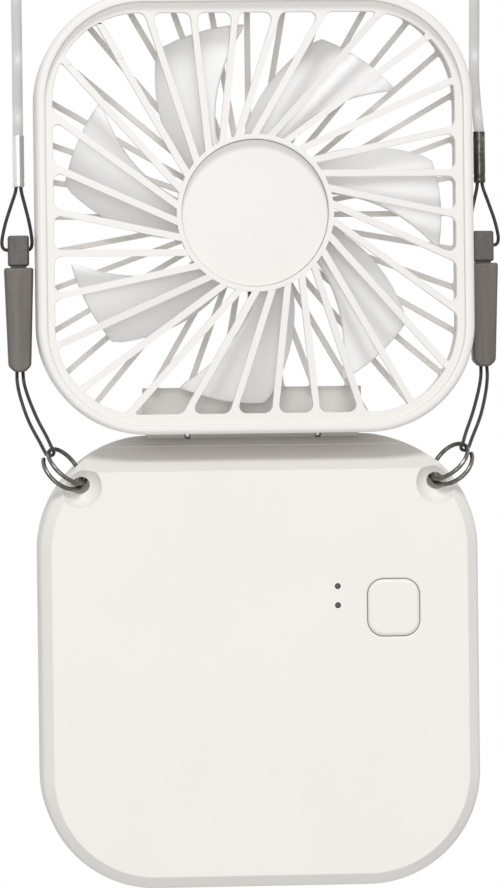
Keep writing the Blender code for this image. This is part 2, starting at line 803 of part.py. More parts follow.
def make_stator(shop):
    """The stator core on the bearing tube, with a coil round each pole."""
    core = prism(stator_outline(), stator_bottom, stator_top)
    piece = link(shop, "motor_stator", mesh_of(core, "motor_stator"), shop.fan, STEEL)
    bore = bmesh.new()
    bore_low = stator_bottom - overrun
    add_rod(bore, 0, 0, tube_radius + small_gap, bore_low, stator_top + overrun, round_steps)
    cut(piece, tool(shop, "stator_bore", mesh_of(bore, "stator_bore"), shop.fan))
    near = tube_radius + seat_gap + pole_neck / 2 + seat_gap
    far = stator_radius - pole_shoe - seat_gap
    half = pole_neck / 2
    coils = bmesh.new()
    gaps = bmesh.new()
    for index in range(pole_count):
        turn = Matrix.Rotation(math.radians(360 / pole_count * index), 4, "Z")
        for bm, grow in ((coils, coil_wall), (gaps, small_gap)):
            start = len(bm.verts)
            wider = overrun if bm is gaps else 0.0
            high = stator_top + grow
            low = stator_bottom - grow
            wide = half + grow
            add_box(bm, near - wider, far + wider, -wide, wide, low, high)
            bm.verts.ensure_lookup_table()
            bmesh.ops.transform(bm, matrix=turn, verts=bm.verts[start:])
    collar_top = stator_bottom - small_gap
    collar = ring_profile(near + overrun / 2, tube_radius + seat_gap, coil_bottom, collar_top)
    wound = turned(shop, "motor_windings", collar, round_steps, shop.fan, COPPER)
    join(wound, tool(shop, "coil_blocks", mesh_of(coils, "coil_blocks"), shop.fan))
    cut(wound, tool(shop, "winding_room", mesh_of(gaps, "winding_room"), shop.fan))


def body_outline(inset=0.0):
    """The body's outline below the hinge line, drawn in by the inset."""
    half = body_width / 2 - inset
    return rounded_box(
        -half, half, inset - body_bottom, -body_top - inset,
        body_bottom_corner - inset, body_top_corner - inset,
    )


def shelf_tool(shop):
    """The slope between the front face and the top rear edge."""
    half = body_width / 2 + overrun
    slope = shelf_drop / (body_depth - shelf_foot)
    front_y = -body_top - shelf_drop
    outline = [
        (front_y - slope * overrun, body_depth + overrun), (-body_top + slope * shelf_foot, 0),
        (shelf_drop, 0), (shelf_drop, body_depth + overrun),
    ]
    turn = Matrix(((0, 0, 1, 0), (1, 0, 0, 0), (0, 1, 0, 0), (0, 0, 0, 1)))
    bm = prism(outline, -half, half, turn)
    return tool(shop, "shelf_slope", mesh_of(bm, "shelf_slope"), shop.base)


def cavity_tool(shop):
    """The room inside the body."""
    half = body_width / 2 - body_wall
    outline = rounded_box(
        -half, half, body_wall - body_bottom, -cavity_top,
        body_bottom_corner - body_wall, cavity_corner,
    )
    bm = prism(outline, body_wall, front_inside)
    return tool(shop, "body_cavity", mesh_of(bm, "body_cavity"), shop.base)


def body_post_places():
    """Two posts beside the shelf and two on the diagonals of the bottom corners."""
    inset = (body_bottom_corner - body_wall - bottom_post_inset) * math.sqrt(0.5)
    side = body_width / 2 - body_bottom_corner + inset
    drop = body_bottom - body_bottom_corner + inset
    return [
        (-side, -drop), (-top_post_side, -top_post_drop), (side, -drop), (top_post_side, -top_post_drop),
    ]


def ring_frame(side):
    """The middle of a split ring with its two in-plane axes and its normal."""
    across = Vector((0.75, -0.66, 0.0)).normalized()
    towards = Vector((-0.323, -0.3675, 0.87))
    towards = (towards - across * towards.dot(across)).normalized()
    normal = across.cross(towards)
    middle = Vector((-(body_width / 2 - ring_inset), -ring_drop, ring_level))
    return [Vector((-side * v.x, v.y, v.z)) for v in (middle, across, towards, normal)]


def ring_point(side, degrees, radius, shift):
    middle, across, towards, normal = ring_frame(side)
    turn = math.radians(degrees)
    spoke = across * math.cos(turn) + towards * math.sin(turn)
    return middle + spoke * radius + normal * shift


def ring_path(side):
    """A wire ring of one and a half turns, with its two turns held apart."""
    first, last, step = -15, 525, 15
    path = []
    for degrees in range(first, last + 1, step):
        swell = ring_splay * max(0.0, math.sin(math.radians(degrees)))
        if degrees <= 180:
            shift = -ring_split - swell
        elif degrees >= 360:
            shift = ring_split + swell
        else:
            shift = -ring_split * math.cos(math.radians(degrees - 180))
        path.append(ring_point(side, degrees, ring_radius, shift))
    return path


def least_gap(path, wire, apart):
    """The least clear distance between stretches of a wire that are not neighbours."""
    least = None
    for i, here in enumerate(path):
        for there in path[i + apart:]:
            clear = (here - there).length - wire
            least = clear if least is None else min(least, clear)
    return least


def eyelet_tools(shop, side):
    """A round dish in the corner and the curved way that the ring takes through it."""
    ball_radius = (dish_radius ** 2 + dish_depth ** 2) / (2 * dish_depth)
    place = (side * (body_width / 2 - eyelet_inset), -eyelet_drop, body_depth - dish_depth + ball_radius)
    dish = bmesh.new()
    bmesh.ops.create_uvsphere(
        dish, u_segments=24, v_segments=16, radius=ball_radius, matrix=Matrix.Translation(place)
    )
    label = "left" if side < 0 else "right"
    dish_shape = tool(shop, "dish_" + label, mesh_of(dish, "dish_" + label), shop.base)
    steps, sides = 20, 10
    bm = bmesh.new()
    rings = []
    middle, across, towards, normal = ring_frame(side)
    for i in range(steps):
        turn = 2 * math.pi * i / steps
        spoke = across * math.cos(turn) + towards * math.sin(turn)
        loop = []
        for j in range(sides):
            around = 2 * math.pi * j / sides
            reach = ring_radius + tunnel_radius * math.cos(around)
            loop.append(bm.verts.new(middle + spoke * reach + normal * tunnel_radius * math.sin(around)))
        rings.append(loop)
    for near, far in zip(rings, rings[1:] + rings[:1]):
        for j in range(sides):
            k = (j + 1) % sides
            bm.faces.new((near[j], near[k], far[k], far[j]))
    way = tool(shop, "ring_way_" + label, mesh_of(bm, "ring_way_" + label), shop.base)
    return dish_shape, way


def socket_outline(margin=0.0):
    """The charging socket's face, drawn across y and z."""
    middle = circuit_front + small_gap + socket_height / 2
    half_width = socket_width / 2 + margin
    half_height = socket_height / 2 + margin
    corner = half_height * 0.9
    return rounded_box(
        -socket_drop - half_width, -socket_drop + half_width, middle - half_height,
        middle + half_height, corner, corner, 4,
    )


ACROSS = Matrix(((0, 0, 1, 0), (1, 0, 0, 0), (0, 1, 0, 0), (0, 0, 0, 1)))


def make_front_cover(shop):
    """The body's front shell with its sloped shelf, eyelets and openings."""
    bm = prism(body_outline(), rear_cover_depth + seat_gap / 2, body_depth)
    soften(bm, body_depth, body_edge, 2)
    piece = link(shop, "front_cover", mesh_of(bm, "front_cover", 25), shop.base, WHITE_SHELL)
    cut(piece, shop.shelf, shop.cavity)
    for side in (-1, 1):
        cut(piece, *eyelet_tools(shop, side))
    posts = bmesh.new()
    for x, y in body_post_places():
        add_rod(posts, x, y, body_post_radius, body_wall + seat_gap, front_inside + body_wall / 2)
    join(piece, tool(shop, "cover_posts", mesh_of(posts, "cover_posts"), shop.base))
    holes = bmesh.new()
    low = body_wall + seat_gap - overrun
    for x, y in body_post_places():
        add_rod(holes, x, y, screw_shank + small_gap, low, body_screw_length + overrun)
    half_width = button_width / 2 + button_gap
    half_height = button_height / 2 + button_gap
    outline = rounded_box(
        button_side - half_width, button_side + half_width, -button_drop - half_height,
        -button_drop + half_height, button_corner + button_gap, None, 6,
    )
    add_prism(holes, outline, front_inside - overrun, body_depth + overrun)
    for index in range(2):
        y = -light_drop - light_pitch * index
        bore = light_radius + small_gap
        add_rod(holes, light_side, y, bore, front_inside - overrun, body_depth + overrun)
    edge = -body_width / 2
    add_prism(holes, socket_outline(seat_gap), edge - overrun, edge + socket_length + overrun, ACROSS)
    cut(piece, tool(shop, "cover_holes", mesh_of(holes, "cover_holes"), shop.base))


def make_rear_cover(shop):
    """The body's rear tray with the outer hinge knuckles."""
    top = rear_cover_depth - seat_gap / 2
    bm = prism(body_outline(), 0, top)
    soften(bm, 0, body_rear_edge, 2)
    piece = link(shop, "rear_cover", mesh_of(bm, "rear_cover", 25), shop.base, WHITE_SHELL)
    cut(piece, shop.shelf, shop.cavity)
    supports = bmesh.new()
    margin = 2 * support_radius
    for x in (-circuit_left / 2, circuit_right - margin):
        for y in (-circuit_top - margin, -circuit_bottom + margin):
            add_rod(supports, x, y, support_radius, body_wall / 2, circuit_level - seat_gap)
    join(piece, tool(shop, "circuit_posts", mesh_of(supports, "circuit_posts"), shop.base))
    holes = bmesh.new()
    for x, y in body_post_places():
        add_rod(holes, x, y, screw_shank + small_gap, small_gap, body_wall + overrun)
    cut(piece, tool(shop, "screw_ways", mesh_of(holes, "screw_ways"), shop.base))
    seats = bmesh.new()
    for x, y in body_post_places():
        add_rod(seats, x, y, screw_head + small_gap, -overrun, screw_head_height + seat_gap)
    cut(piece, tool(shop, "cover_screw_seats", mesh_of(seats, "cover_screw_seats"), shop.base))
    make_body_knuckles(shop, piece)


def make_body_knuckles(shop, cover):
    """Clear the head's middle barrel, then join a knuckle on each side of it."""
    clear = bmesh.new()
    inner = barrel_half_width + washer_thickness + 2 * seat_gap
    room = inner - small_gap
    add_cross_rod(clear, 0, -hinge_proud, barrel_radius + running_gap, -room, room, round_steps)
    cut(cover, tool(shop, "barrel_room", mesh_of(clear, "barrel_room"), shop.base))
    knuckles = bmesh.new()
    bores = bmesh.new()
    for side in (-1, 1):
        ends = sorted((side * inner, side * (inner + knuckle_width)))
        add_cross_rod(knuckles, 0, -hinge_proud, barrel_radius, *ends, round_steps)
        ends = sorted((side * (inner - overrun), side * (inner + knuckle_width - overrun)))
        add_cross_rod(bores, 0, -hinge_proud, pin_radius + small_gap, *ends)
    join(cover, tool(shop, "body_knuckles", mesh_of(knuckles, "body_knuckles"), shop.base))
    cut(cover, tool(shop, "knuckle_bores", mesh_of(bores, "knuckle_bores"), shop.base))


def make_hinge(shop):
    """Two friction pins, with a washer on each between barrel and knuckle."""
    inner = barrel_half_width + washer_thickness + 2 * seat_gap
    for side, label in SIDES:
        pin = bmesh.new()
        near = side * (barrel_half_width - pin_inside + seat_gap)
        far = side * (inner + knuckle_width - overrun - seat_gap)
        add_cross_rod(pin, 0, -hinge_proud, pin_radius, *sorted((near, far)))
        name = "hinge_pin_" + label
        link(shop, name, mesh_of(pin, name, 35), shop.base, STEEL)
        near = barrel_half_width + seat_gap
        section = ring_profile(washer_radius, pin_radius + small_gap, near, near + washer_thickness)
        washer = turned(shop, "hinge_washer_" + label, section, round_steps, shop.base, STEEL)
        washer.location = (0, 0, -hinge_proud)
        washer.rotation_euler = (0, math.radians(90 * side), 0)


def make_button(shop):
    """The button cap with its flange and stem, and the switch plunger under it."""
    at = (button_side, -button_drop, 0)
    half_width = button_width / 2
    half_height = button_height / 2
    top = body_depth + button_proud
    flange_top = front_inside - seat_gap
    outline = rounded_box(-half_width, half_width, -half_height, half_height, button_corner, None, 6)
    bm = prism(outline, flange_top - button_plate / 2, top)
    soften(bm, top, seat_gap, 2)
    cap = link(shop, "power_button", mesh_of(bm, "power_button", 30), shop.base, WHITE_SHELL, at)
    wide = button_flange
    flange = rounded_box(
        -half_width - wide, half_width + wide, -half_height - wide, half_height + wide,
        button_corner + wide, None, 6,
    )
    base = prism(flange, flange_top - button_plate, flange_top)
    join(cap, tool(shop, "button_flange_solid", mesh_of(base, "button_flange_solid"), shop.base, at))
    stem = bmesh.new()
    add_rod(stem, 0, 0, stem_radius, plunger_top + seat_gap, flange_top - button_plate / 2)
    join(cap, tool(shop, "button_stem", mesh_of(stem, "button_stem"), shop.base, at))
    plunger = bmesh.new()
    add_rod(plunger, 0, 0, plunger_radius, plunger_bottom, plunger_top)
    link(shop, "switch_plunger", mesh_of(plunger, "switch_plunger", 35), shop.base, DARK_PLASTIC, at)


def make_lights(shop):
    """Two light guides on one bar behind the front wall."""
    name = "led_light_guide"
    bar_top = front_inside - seat_gap
    half = light_bar
    bm = bmesh.new()
    far = light_drop + light_pitch
    low_end = -far - half
    high_end = half - light_drop
    bar_left = light_side - half
    add_box(bm, bar_left, light_side + half, low_end, high_end, bar_top - light_bar, bar_top)
    piece = link(shop, name, mesh_of(bm, name), shop.base, LIGHT_GREY)
    guides = bmesh.new()
    low = circuit_front + small_gap
    for index, label in enumerate(("upper", "lower")):
        y = -light_drop - light_pitch * index
        foot = low + led_height + seat_gap
        add_rod(guides, light_side, y, light_radius, foot, body_depth - small_gap, 12)
        led = bmesh.new()
        add_box(
            led, light_side - led_width / 2, light_side + led_width / 2, y - led_length / 2,
            y + led_length / 2, low, low + led_height,
        )
        link(shop, "status_led_" + label, mesh_of(led, "status_led_" + label), shop.base, CORD_WHITE)
    join(piece, tool(shop, "light_guides", mesh_of(guides, "light_guides"), shop.base))


def make_electronics(shop):
    """Circuit board, switch, charging socket, battery and its leads."""
    outline = rounded_box(
        -circuit_left, circuit_right, -circuit_bottom, -circuit_top, overrun, circuit_corner
    )
    board = prism(outline, circuit_level, circuit_front)
    link(shop, "circuit_board", mesh_of(board, "circuit_board"), shop.base, CIRCUIT_GREEN)
    half = switch_size / 2
    low = circuit_front + small_gap
    body = bmesh.new()
    left = button_side - half
    bottom = -button_drop - half
    add_box(body, left, button_side + half, bottom, half - button_drop, low, switch_top)
    switch = link(shop, "button_switch", mesh_of(body, "button_switch"), shop.base, DARK_PLASTIC)
    bore = bmesh.new()
    floor = plunger_bottom - button_travel - small_gap
    add_rod(bore, button_side, -button_drop, plunger_radius + small_gap, floor, switch_top + overrun)
    cut(switch, tool(shop, "plunger_bore", mesh_of(bore, "plunger_bore"), shop.base))
    mouth = -body_width / 2 + small_gap
    shell = prism(socket_outline(), mouth, mouth + socket_length, ACROSS)
    socket = link(shop, "charging_socket", mesh_of(shell, "charging_socket"), shop.base, STEEL)
    room = prism(socket_outline(-socket_wall), mouth - overrun, mouth + socket_length - overrun, ACROSS)
    cut(socket, tool(shop, "socket_room", mesh_of(room, "socket_room"), shop.base))
    tongue = bmesh.new()
    middle = circuit_front + small_gap + socket_height / 2
    half = socket_width / 2 - 4 * socket_wall
    add_box(
        tongue, mouth + overrun, mouth + socket_length - overrun / 2, -socket_drop - half,
        half - socket_drop, middle - socket_wall, middle + socket_wall,
    )
    join(socket, tool(shop, "socket_tongue", mesh_of(tongue, "socket_tongue"), shop.base))
    make_battery(shop)


def make_battery(shop):
    """A flat cell on the rear cover's floor, with two leads up to the board."""
    low = body_wall + seat_gap
    bottom = body_wall + battery_lift - body_bottom - body_wall
    top = bottom + battery_height
    half = battery_width / 2
    bm = prism(rounded_box(-half, half, bottom, top, battery_corner, None, 4), low, low + battery_thickness)
    soften(bm, low + battery_thickness, battery_corner / 2, 2)
    link(shop, "battery", mesh_of(bm, "battery", 35), shop.base, CELL_SILVER)
    level = circuit_level - seat_gap - lead_diameter / 2
    end = -circuit_bottom + 2 * lead_diameter
    for side, label in SIDES:
        x = side * 2 * lead_diameter
        path = [(x, top + seat_gap, level), (x, (top + end) / 2, level), (x, end, level)]
        tube(shop, "battery_lead_" + label, path, lead_diameter, shop.base, DARK_PLASTIC)


def round_edges(bm, width):
    """Round every edge of a block."""
    bmesh.ops.bevel(
        bm, geom=bm.edges[:], offset=width, offset_type="OFFSET", segments=2, profile=0.5,
        affect="EDGES",
    )


def cord_reach(side):
    """How far the cord's end is from the middle: the loop hangs a little to the left."""
    return left_cord_reach if side < 0 else right_cord_reach


def make_clip(shop, side, label):
    """The two halves of a release clip."""
    top, bottom = clip_top, clip_bottom
    half_top, half_foot = clip_width / 2, clip_foot_width / 2
    outline = [
        (half_top, top), (-half_top, top), (-half_foot, bottom + clip_chin), (-half_foot / 2, bottom),
        (half_foot / 2, bottom), (half_foot, bottom + clip_chin),
    ]
    low = lanyard_level - clip_thickness / 2
    high = lanyard_level + clip_thickness / 2
    at = (side * clip_reach, 0, 0)
    bm = prism(outline, low, high)
    round_edges(bm, clip_round)
    name = "clip_body_" + label
    body = link(shop, name, mesh_of(bm, name, 40), shop.base, DARK_PLASTIC, at)
    half = tongue_blade_width / 2
    half_depth = tongue_blade_thickness / 2
    blade_bottom = top + seat_gap - tongue_blade_length
    room = bmesh.new()
    fit = seat_gap
    add_box(
        room, -half - fit, half + fit, blade_bottom - seat_gap, top + overrun,
        lanyard_level - half_depth - fit, lanyard_level + half_depth + fit,
    )
    cut(body, tool(shop, "clip_room_" + label, mesh_of(room, "clip_room_" + label), shop.base, at))
    tongue_bottom = top + seat_gap
    tongue_top = tongue_bottom + tongue_height
    block = bmesh.new()
    wide = tongue_width / 2
    deep = tongue_thickness / 2
    add_box(
        block, -wide, wide, tongue_bottom, tongue_top, lanyard_level - deep, lanyard_level + deep
    )
    round_edges(block, clip_round)
    name = "clip_tongue_" + label
    tongue = link(shop, name, mesh_of(block, name, 40), shop.loop, DARK_PLASTIC, at)
    blade = bmesh.new()
    add_box(
        blade, -half, half, blade_bottom, tongue_bottom + overrun,
        lanyard_level - half_depth, lanyard_level + half_depth,
    )
    join(tongue, tool(shop, "tongue_blade_" + label, mesh_of(blade, "tongue_blade_" + label), shop.loop, at))
    hole = bmesh.new()
    eye = tongue_top - tongue_hole_drop
    add_cross_rod(hole, eye, lanyard_level, tongue_hole, -wide - overrun, wide + overrun, 12)
    cut(tongue, tool(shop, "tongue_hole_" + label, mesh_of(hole, "tongue_hole_" + label), shop.loop, at))


def make_upper_loop(shop, side, label):
    """The string from the sleeve, through the clip tongue's hole and back."""
    hole = clip_top + seat_gap + tongue_height - tongue_hole_drop
    rise = sleeve_bottom - seat_gap - hole
    half = tongue_width / 2
    pair = (string_diameter + small_gap) / 2
    strands = []
    for way, bulge in ((side, upper_loop_bulge), (-side, 0.0)):
        swell = half + string_diameter / 2 + small_gap + bulge
        strand = []
        for across_share, height_share in upper_loop_shares:
            across = pair + (swell - pair) * across_share
            centre = side * (clip_reach - (clip_reach - cord_reach(side)) * height_share)
            strand.append((centre + way * across, hole + rise * height_share, lanyard_level))
        strands.append(strand)
    middle = [(side * (clip_reach + half * share), hole, lanyard_level) for share in (0.5, -0.5)]
    path = smooth_path(strands[0] + middle + strands[1][::-1], 2 * string_diameter)
    tube(shop, "upper_loop_" + label, path, string_diameter, shop.loop, BLACK_STRING)


def make_lower_loop(shop, side, label):
    """The string from the clip, round the split ring's wire and back."""
    anchor = ring_point(side, 180, ring_radius, -ring_split)
    middle, across, towards, normal = ring_frame(side)
    reach = (ring_wire + string_diameter) / 2 + small_gap
    start = Vector((side * clip_reach, clip_bottom - seat_gap, lanyard_level))
    outward = Vector((side, 0, 0))
    along_shares = [(0.0, 0.0), (0.16, 0.02), (0.36, 0.16), (0.62, 0.44), (0.86, 0.80)]
    apart_shares = [0.62, 0.70, 0.82, 0.94, 1.0]
    strands = {1: [], -1: []}
    for (down, over), apart in zip(along_shares, apart_shares):
        point = Vector((
            start.x + (anchor.x - start.x) * over,
            start.y + (anchor.y - start.y) * down,
            start.z + (anchor.z - start.z) * (over + down) / 2,
        ))
        spread = (outward * (1 - over) - normal * over).normalized() * reach * apart
        strands[1].append(point + spread)
        strands[-1].append(point - spread)
    turn = [
        anchor - normal * reach, anchor + across * reach * 0.75 - normal * reach * 0.7,
        anchor + across * reach * 1.08, anchor + across * reach * 0.75 + normal * reach * 0.7,
        anchor + normal * reach,
    ]
    path = smooth_path(strands[1] + turn + strands[-1][::-1], 2 * string_diameter)
    tube(shop, "lower_loop_" + label, path, string_diameter, shop.base, BLACK_STRING)


def make_sleeve(shop, side, label):
    """The crimped sleeve between the neck cord and the string."""
    radius = sleeve_radius
    inner = radius - sleeve_edge
    low, high = sleeve_bottom, sleeve_top
    profile = [
        (0, high), (inner, high), (radius, high - sleeve_edge), (radius, low + sleeve_edge),
        (inner, low), (0, low),
    ]
    sleeve = turned(shop, "crimp_sleeve_" + label, profile, 20, shop.loop, STEEL, closed=False)
    sleeve.rotation_euler = (math.radians(-90), 0, 0)
    sleeve.location = (side * cord_reach(side), 0, lanyard_level)


def neck_route():
    """The neck cord's own points, from the left sleeve over the top to the right sleeve."""
    half_shares = [
        (1.0, 0.0), (1.0, 0.13), (1.0, 0.26), (1.0, 0.38), (0.985, 0.50), (0.87, 0.69), (0.6, 0.877),
        (0.25, 0.98),
    ]
    low = sleeve_top + seat_gap
    rise = loop_height - seat_gap
    left = [(-cord_reach(-1) * x, y) for x, y in half_shares]
    right = [(cord_reach(1) * x - min(cord_lean, rise * y / 10), y) for x, y in half_shares[::-1]]
    return [
        (x, low + rise * y, lanyard_level + lanyard_setback * y) for x, y in left + [(0.0, 1.0)] + right
    ]


def make_lanyard(shop):
    for side, label in SIDES:
        path = ring_path(side)
        tube(shop, "split_ring_" + label, path, ring_wire, shop.base, DARK_STEEL)
        make_clip(shop, side, label)
        make_upper_loop(shop, side, label)
        make_lower_loop(shop, side, label)
        make_sleeve(shop, side, label)
        print("split ring", label, "least gap to itself in mm", least_gap(path, ring_wire, 12) / MM)
    path = smooth_path(neck_route(), 2.5 * cord_diameter)
    tube(shop, "neck_cord", path, cord_diameter, shop.loop, CORD_WHITE)


def main():
    shop = Workshop()
    shop.shelf = shelf_tool(shop)
    shop.cavity = cavity_tool(shop)
    make_front_grille(shop)
    make_hub_disc(shop)
    make_rear_shell(shop)
    make_impeller(shop)
    make_motor(shop)
    make_front_cover(shop)
    make_rear_cover(shop)
    make_hinge(shop)
    make_button(shop)
    make_lights(shop)
    make_electronics(shop)
    make_screws(shop, "body_screw", body_post_places(), body_screw_length, shop.base)
    make_lanyard(shop)
    bpy.context.view_layer.update()


main()
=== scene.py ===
# %% [markdown]
# # A folding fan that hangs from the neck
# The fan has a square head hinged to a square battery body, and a lanyard that is clipped to two
# split rings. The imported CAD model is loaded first, because every visible piece is built around
# it in the same place and at the same size.

import math

import bpy
from mathutils import Matrix, Vector


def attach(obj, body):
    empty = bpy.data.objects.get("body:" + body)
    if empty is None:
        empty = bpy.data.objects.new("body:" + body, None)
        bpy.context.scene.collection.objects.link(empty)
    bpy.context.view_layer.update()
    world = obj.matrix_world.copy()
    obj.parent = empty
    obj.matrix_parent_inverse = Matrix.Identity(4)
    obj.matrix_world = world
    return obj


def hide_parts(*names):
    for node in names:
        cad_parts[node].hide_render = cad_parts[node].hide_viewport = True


MM = 0.001
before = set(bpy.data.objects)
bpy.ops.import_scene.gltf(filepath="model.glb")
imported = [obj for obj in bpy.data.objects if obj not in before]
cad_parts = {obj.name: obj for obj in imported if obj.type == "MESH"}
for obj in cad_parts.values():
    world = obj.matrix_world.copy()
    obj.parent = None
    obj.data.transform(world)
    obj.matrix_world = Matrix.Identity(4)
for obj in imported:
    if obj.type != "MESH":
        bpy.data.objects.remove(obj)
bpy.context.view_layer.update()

# %% [markdown]
# ## Camera
# The photograph was taken from about a metre away with a long lens, a little from the left and
# just above the hinge, so the two squares stay almost undistorted. The camera is turned by its
# pan, its tilt and its roll, because those are what one adjusts on a tripod head.

# %% Camera
CAMERA_PLACE = Vector((-0.073638, -0.965234, -0.111032))
CAMERA_PAN, CAMERA_TILT, CAMERA_ROLL = (math.radians(v) for v in (4.304, -0.792, -0.707))
LENS, SENSOR_WIDTH = 213.03, 36.0


def camera_turn(pan, tilt, roll):
    ahead = Vector((math.sin(pan) * math.cos(tilt), math.cos(pan) * math.cos(tilt), math.sin(tilt)))
    right = Vector((math.cos(pan), -math.sin(pan), 0.0))
    up = right.cross(ahead)
    side = math.cos(roll) * right + math.sin(roll) * up
    top = math.cos(roll) * up - math.sin(roll) * right
    return Matrix((side, top, -ahead)).transposed().to_euler()


bpy.ops.object.camera_add(location=CAMERA_PLACE,
                          rotation=camera_turn(CAMERA_PAN, CAMERA_TILT, CAMERA_ROLL))
camera = bpy.context.object
camera.name = "photo_camera"
camera.data.lens = LENS
camera.data.sensor_width = SENSOR_WIDTH
camera.data.clip_start = 0.01
bpy.context.scene.camera = camera
bpy.context.scene.view_settings.view_transform = "Standard"

# %% [markdown]
# ## Light
# A soft lamp above the fan makes the shade under the rim and on the shelf, as in the photograph.
# The world fills the rest evenly. Where the camera, a gloss or a glass looks past the fan it sees
# plain white, which comes from the Light Path node and not from more light on the fan.

# %% World
FILL_STRENGTH = 0.46

world = bpy.data.worlds.new("studio")
bpy.context.scene.world = world
world.use_nodes = True
nodes, links = world.node_tree.nodes, world.node_tree.links
nodes.clear()
out, mix, fill, white, path, seen, glass = [nodes.new("ShaderNode" + kind) for kind in (
    "OutputWorld", "MixShader", "Background", "Background", "LightPath", "Math", "Math")]
for light in (fill, white):
    light.inputs["Color"].default_value = (1.0, 1.0, 1.0, 1.0)
fill.inputs["Strength"].default_value = FILL_STRENGTH
seen.operation = glass.operation = "MAXIMUM"
for start, end in ((path.outputs["Is Camera Ray"], seen.inputs[0]),
                   (path.outputs["Is Glossy Ray"], seen.inputs[1]),
                   (seen.outputs[0], glass.inputs[0]),
                   (path.outputs["Is Transmission Ray"], glass.inputs[1]),
                   (glass.outputs[0], mix.inputs[0]), (fill.outputs[0], mix.inputs[1]),
                   (white.outputs[0], mix.inputs[2]), (mix.outputs[0], out.inputs["Surface"])):
    links.new(start, end)

# %% Lamps
KEY_PLACE, KEY_WATTS = (-0.08, -1.157, 1.259), 14.4
FRONT_PLACE, FRONT_WATTS = (-0.15, -1.98, 0.05), 7.6
LAMP_SIZE = 0.60
FAN_MIDDLE = Vector((0.0, 0.0, -0.12))


def soft_lamp(name, place, watts):
    """A round softbox that looks at the middle of the fan."""
    turn = (FAN_MIDDLE - Vector(place)).to_track_quat("-Z", "Y").to_euler()
    bpy.ops.object.light_add(type="AREA", location=place, rotation=turn)
    lamp = bpy.context.object
    lamp.name = name
    lamp.data.shape = "DISK"
    lamp.data.size = LAMP_SIZE
    lamp.data.energy = watts


soft_lamp("key_lamp", KEY_PLACE, KEY_WATTS)
soft_lamp("front_lamp", FRONT_PLACE, FRONT_WATTS)

# %% [markdown]
# ## The drawing board
# The fan hangs upright, but it is easier to draw a flat shell lying down. So each piece is drawn
# in millimetres with x to the right, y up the fan and z towards the viewer. Then it is hung up:
# scaled to metres, turned a quarter about x, and moved to the hinge line, with all of that
# applied to its mesh.

# %% The drawing board
HINGE_DROP = 122.35
HALF_DEPTH = 8.5
HEAD_CENTRE = 40.3
board = (Matrix.Translation((0.0, HALF_DEPTH * MM, -HINGE_DROP * MM))
         @ Matrix.Rotation(math.radians(90), 4, "X") @ Matrix.Scale(MM, 4))


def on_board(x, y, z):
    """The place in the room of a point drawn on the board."""
    return board @ Vector((x, y, z))


def work_on(piece):
    """Leaves edit mode, and selects only this piece."""
    if bpy.context.object and bpy.context.object.mode != "OBJECT":
        bpy.ops.object.mode_set(mode="OBJECT")
    bpy.ops.object.select_all(action="DESELECT")
    piece.select_set(True)
    bpy.context.view_layer.objects.active = piece


def done():
    bpy.ops.object.mode_set(mode="OBJECT")


def choose(piece, kind, test):
    """Opens the piece in edit mode with those corners, edges or faces selected that pass."""
    work_on(piece)
    mesh = piece.data
    places = [v.co.copy() for v in mesh.vertices]
    kinds = {"VERT": mesh.vertices, "EDGE": mesh.edges, "FACE": mesh.polygons}
    for items in kinds.values():
        items.foreach_set("select", [False] * len(items))
    count = 0
    for item in kinds[kind]:
        at = [places[i] for i in item.vertices] if kind != "VERT" else [places[item.index]]
        if test(item, at):
            item.select = True
            count += 1
    bpy.context.tool_settings.mesh_select_mode = tuple(k == kind for k in ("VERT", "EDGE", "FACE"))
    bpy.ops.object.mode_set(mode="EDIT")
    return count


def at_level(level):
    """A test for corners, edges and faces that lie at one height over the board."""
    return lambda item, at: all(abs(p.z - level) < 0.002 for p in at)


def everything(item, at):
    return True


def upright(item, at):
    """A test for edges that stand square on the board."""
    return abs(at[0].z - at[1].z) > 0.01 and (at[0] - at[1]).to_2d().length < 0.001


# %% [markdown]
# ## Shaping tools
# A moulded shell is a block with round corners, softened edges and a pocket. Bevel, inset and
# extrude make those in edit mode. Holes and slots are cut by boolean modifiers that are applied at
# once, so that a later bevel can work on the edges they leave.

# %% Blocks and rods
def named(piece, name):
    piece.name = name
    piece.data.name = name
    return piece


def settle():
    """Applies the active piece's place, turn and size to its mesh."""
    bpy.ops.object.transform_apply(location=True, rotation=True, scale=True)


def added(name, primitive, **settings):
    """A new primitive by itself, already settled."""
    bpy.ops.object.select_all(action="DESELECT")
    primitive(**settings)
    settle()
    return named(bpy.context.object, name)


def block(name, left, right, bottom, top, low, high):
    """A box between two levels of the board."""
    middle = ((left + right) / 2, (bottom + top) / 2, (low + high) / 2)
    piece = added(name, bpy.ops.mesh.primitive_cube_add, size=1.0)
    piece.scale = (right - left, top - bottom, high - low)
    piece.location = middle
    settle()
    return piece


def rod(name, x, y, radius, low, high, sides=96):
    """A round post that stands on the board."""
    return added(name, bpy.ops.mesh.primitive_cylinder_add, vertices=sides, radius=radius,
                 depth=high - low, location=(x, y, (low + high) / 2))


def cross_rod(name, y, z, radius, left, right, sides=64):
    """A round bar that lies along x."""
    return added(name, bpy.ops.mesh.primitive_cylinder_add, vertices=sides, radius=radius,
                 depth=right - left, location=((left + right) / 2, y, z),
                 rotation=(0.0, math.radians(90), 0.0))


# %% Edges, pockets and cuts
def flat_edges(piece):
    """The edges that a cut leaves inside a flat face, which no bevel should take."""
    normals = {}
    for face in piece.data.polygons:
        for key in face.edge_keys:
            normals.setdefault(key, []).append(face.normal)
    return {key for key, pair in normals.items()
            if len(pair) == 2 and pair[0].angle(pair[1], 0.0) < math.radians(3)}


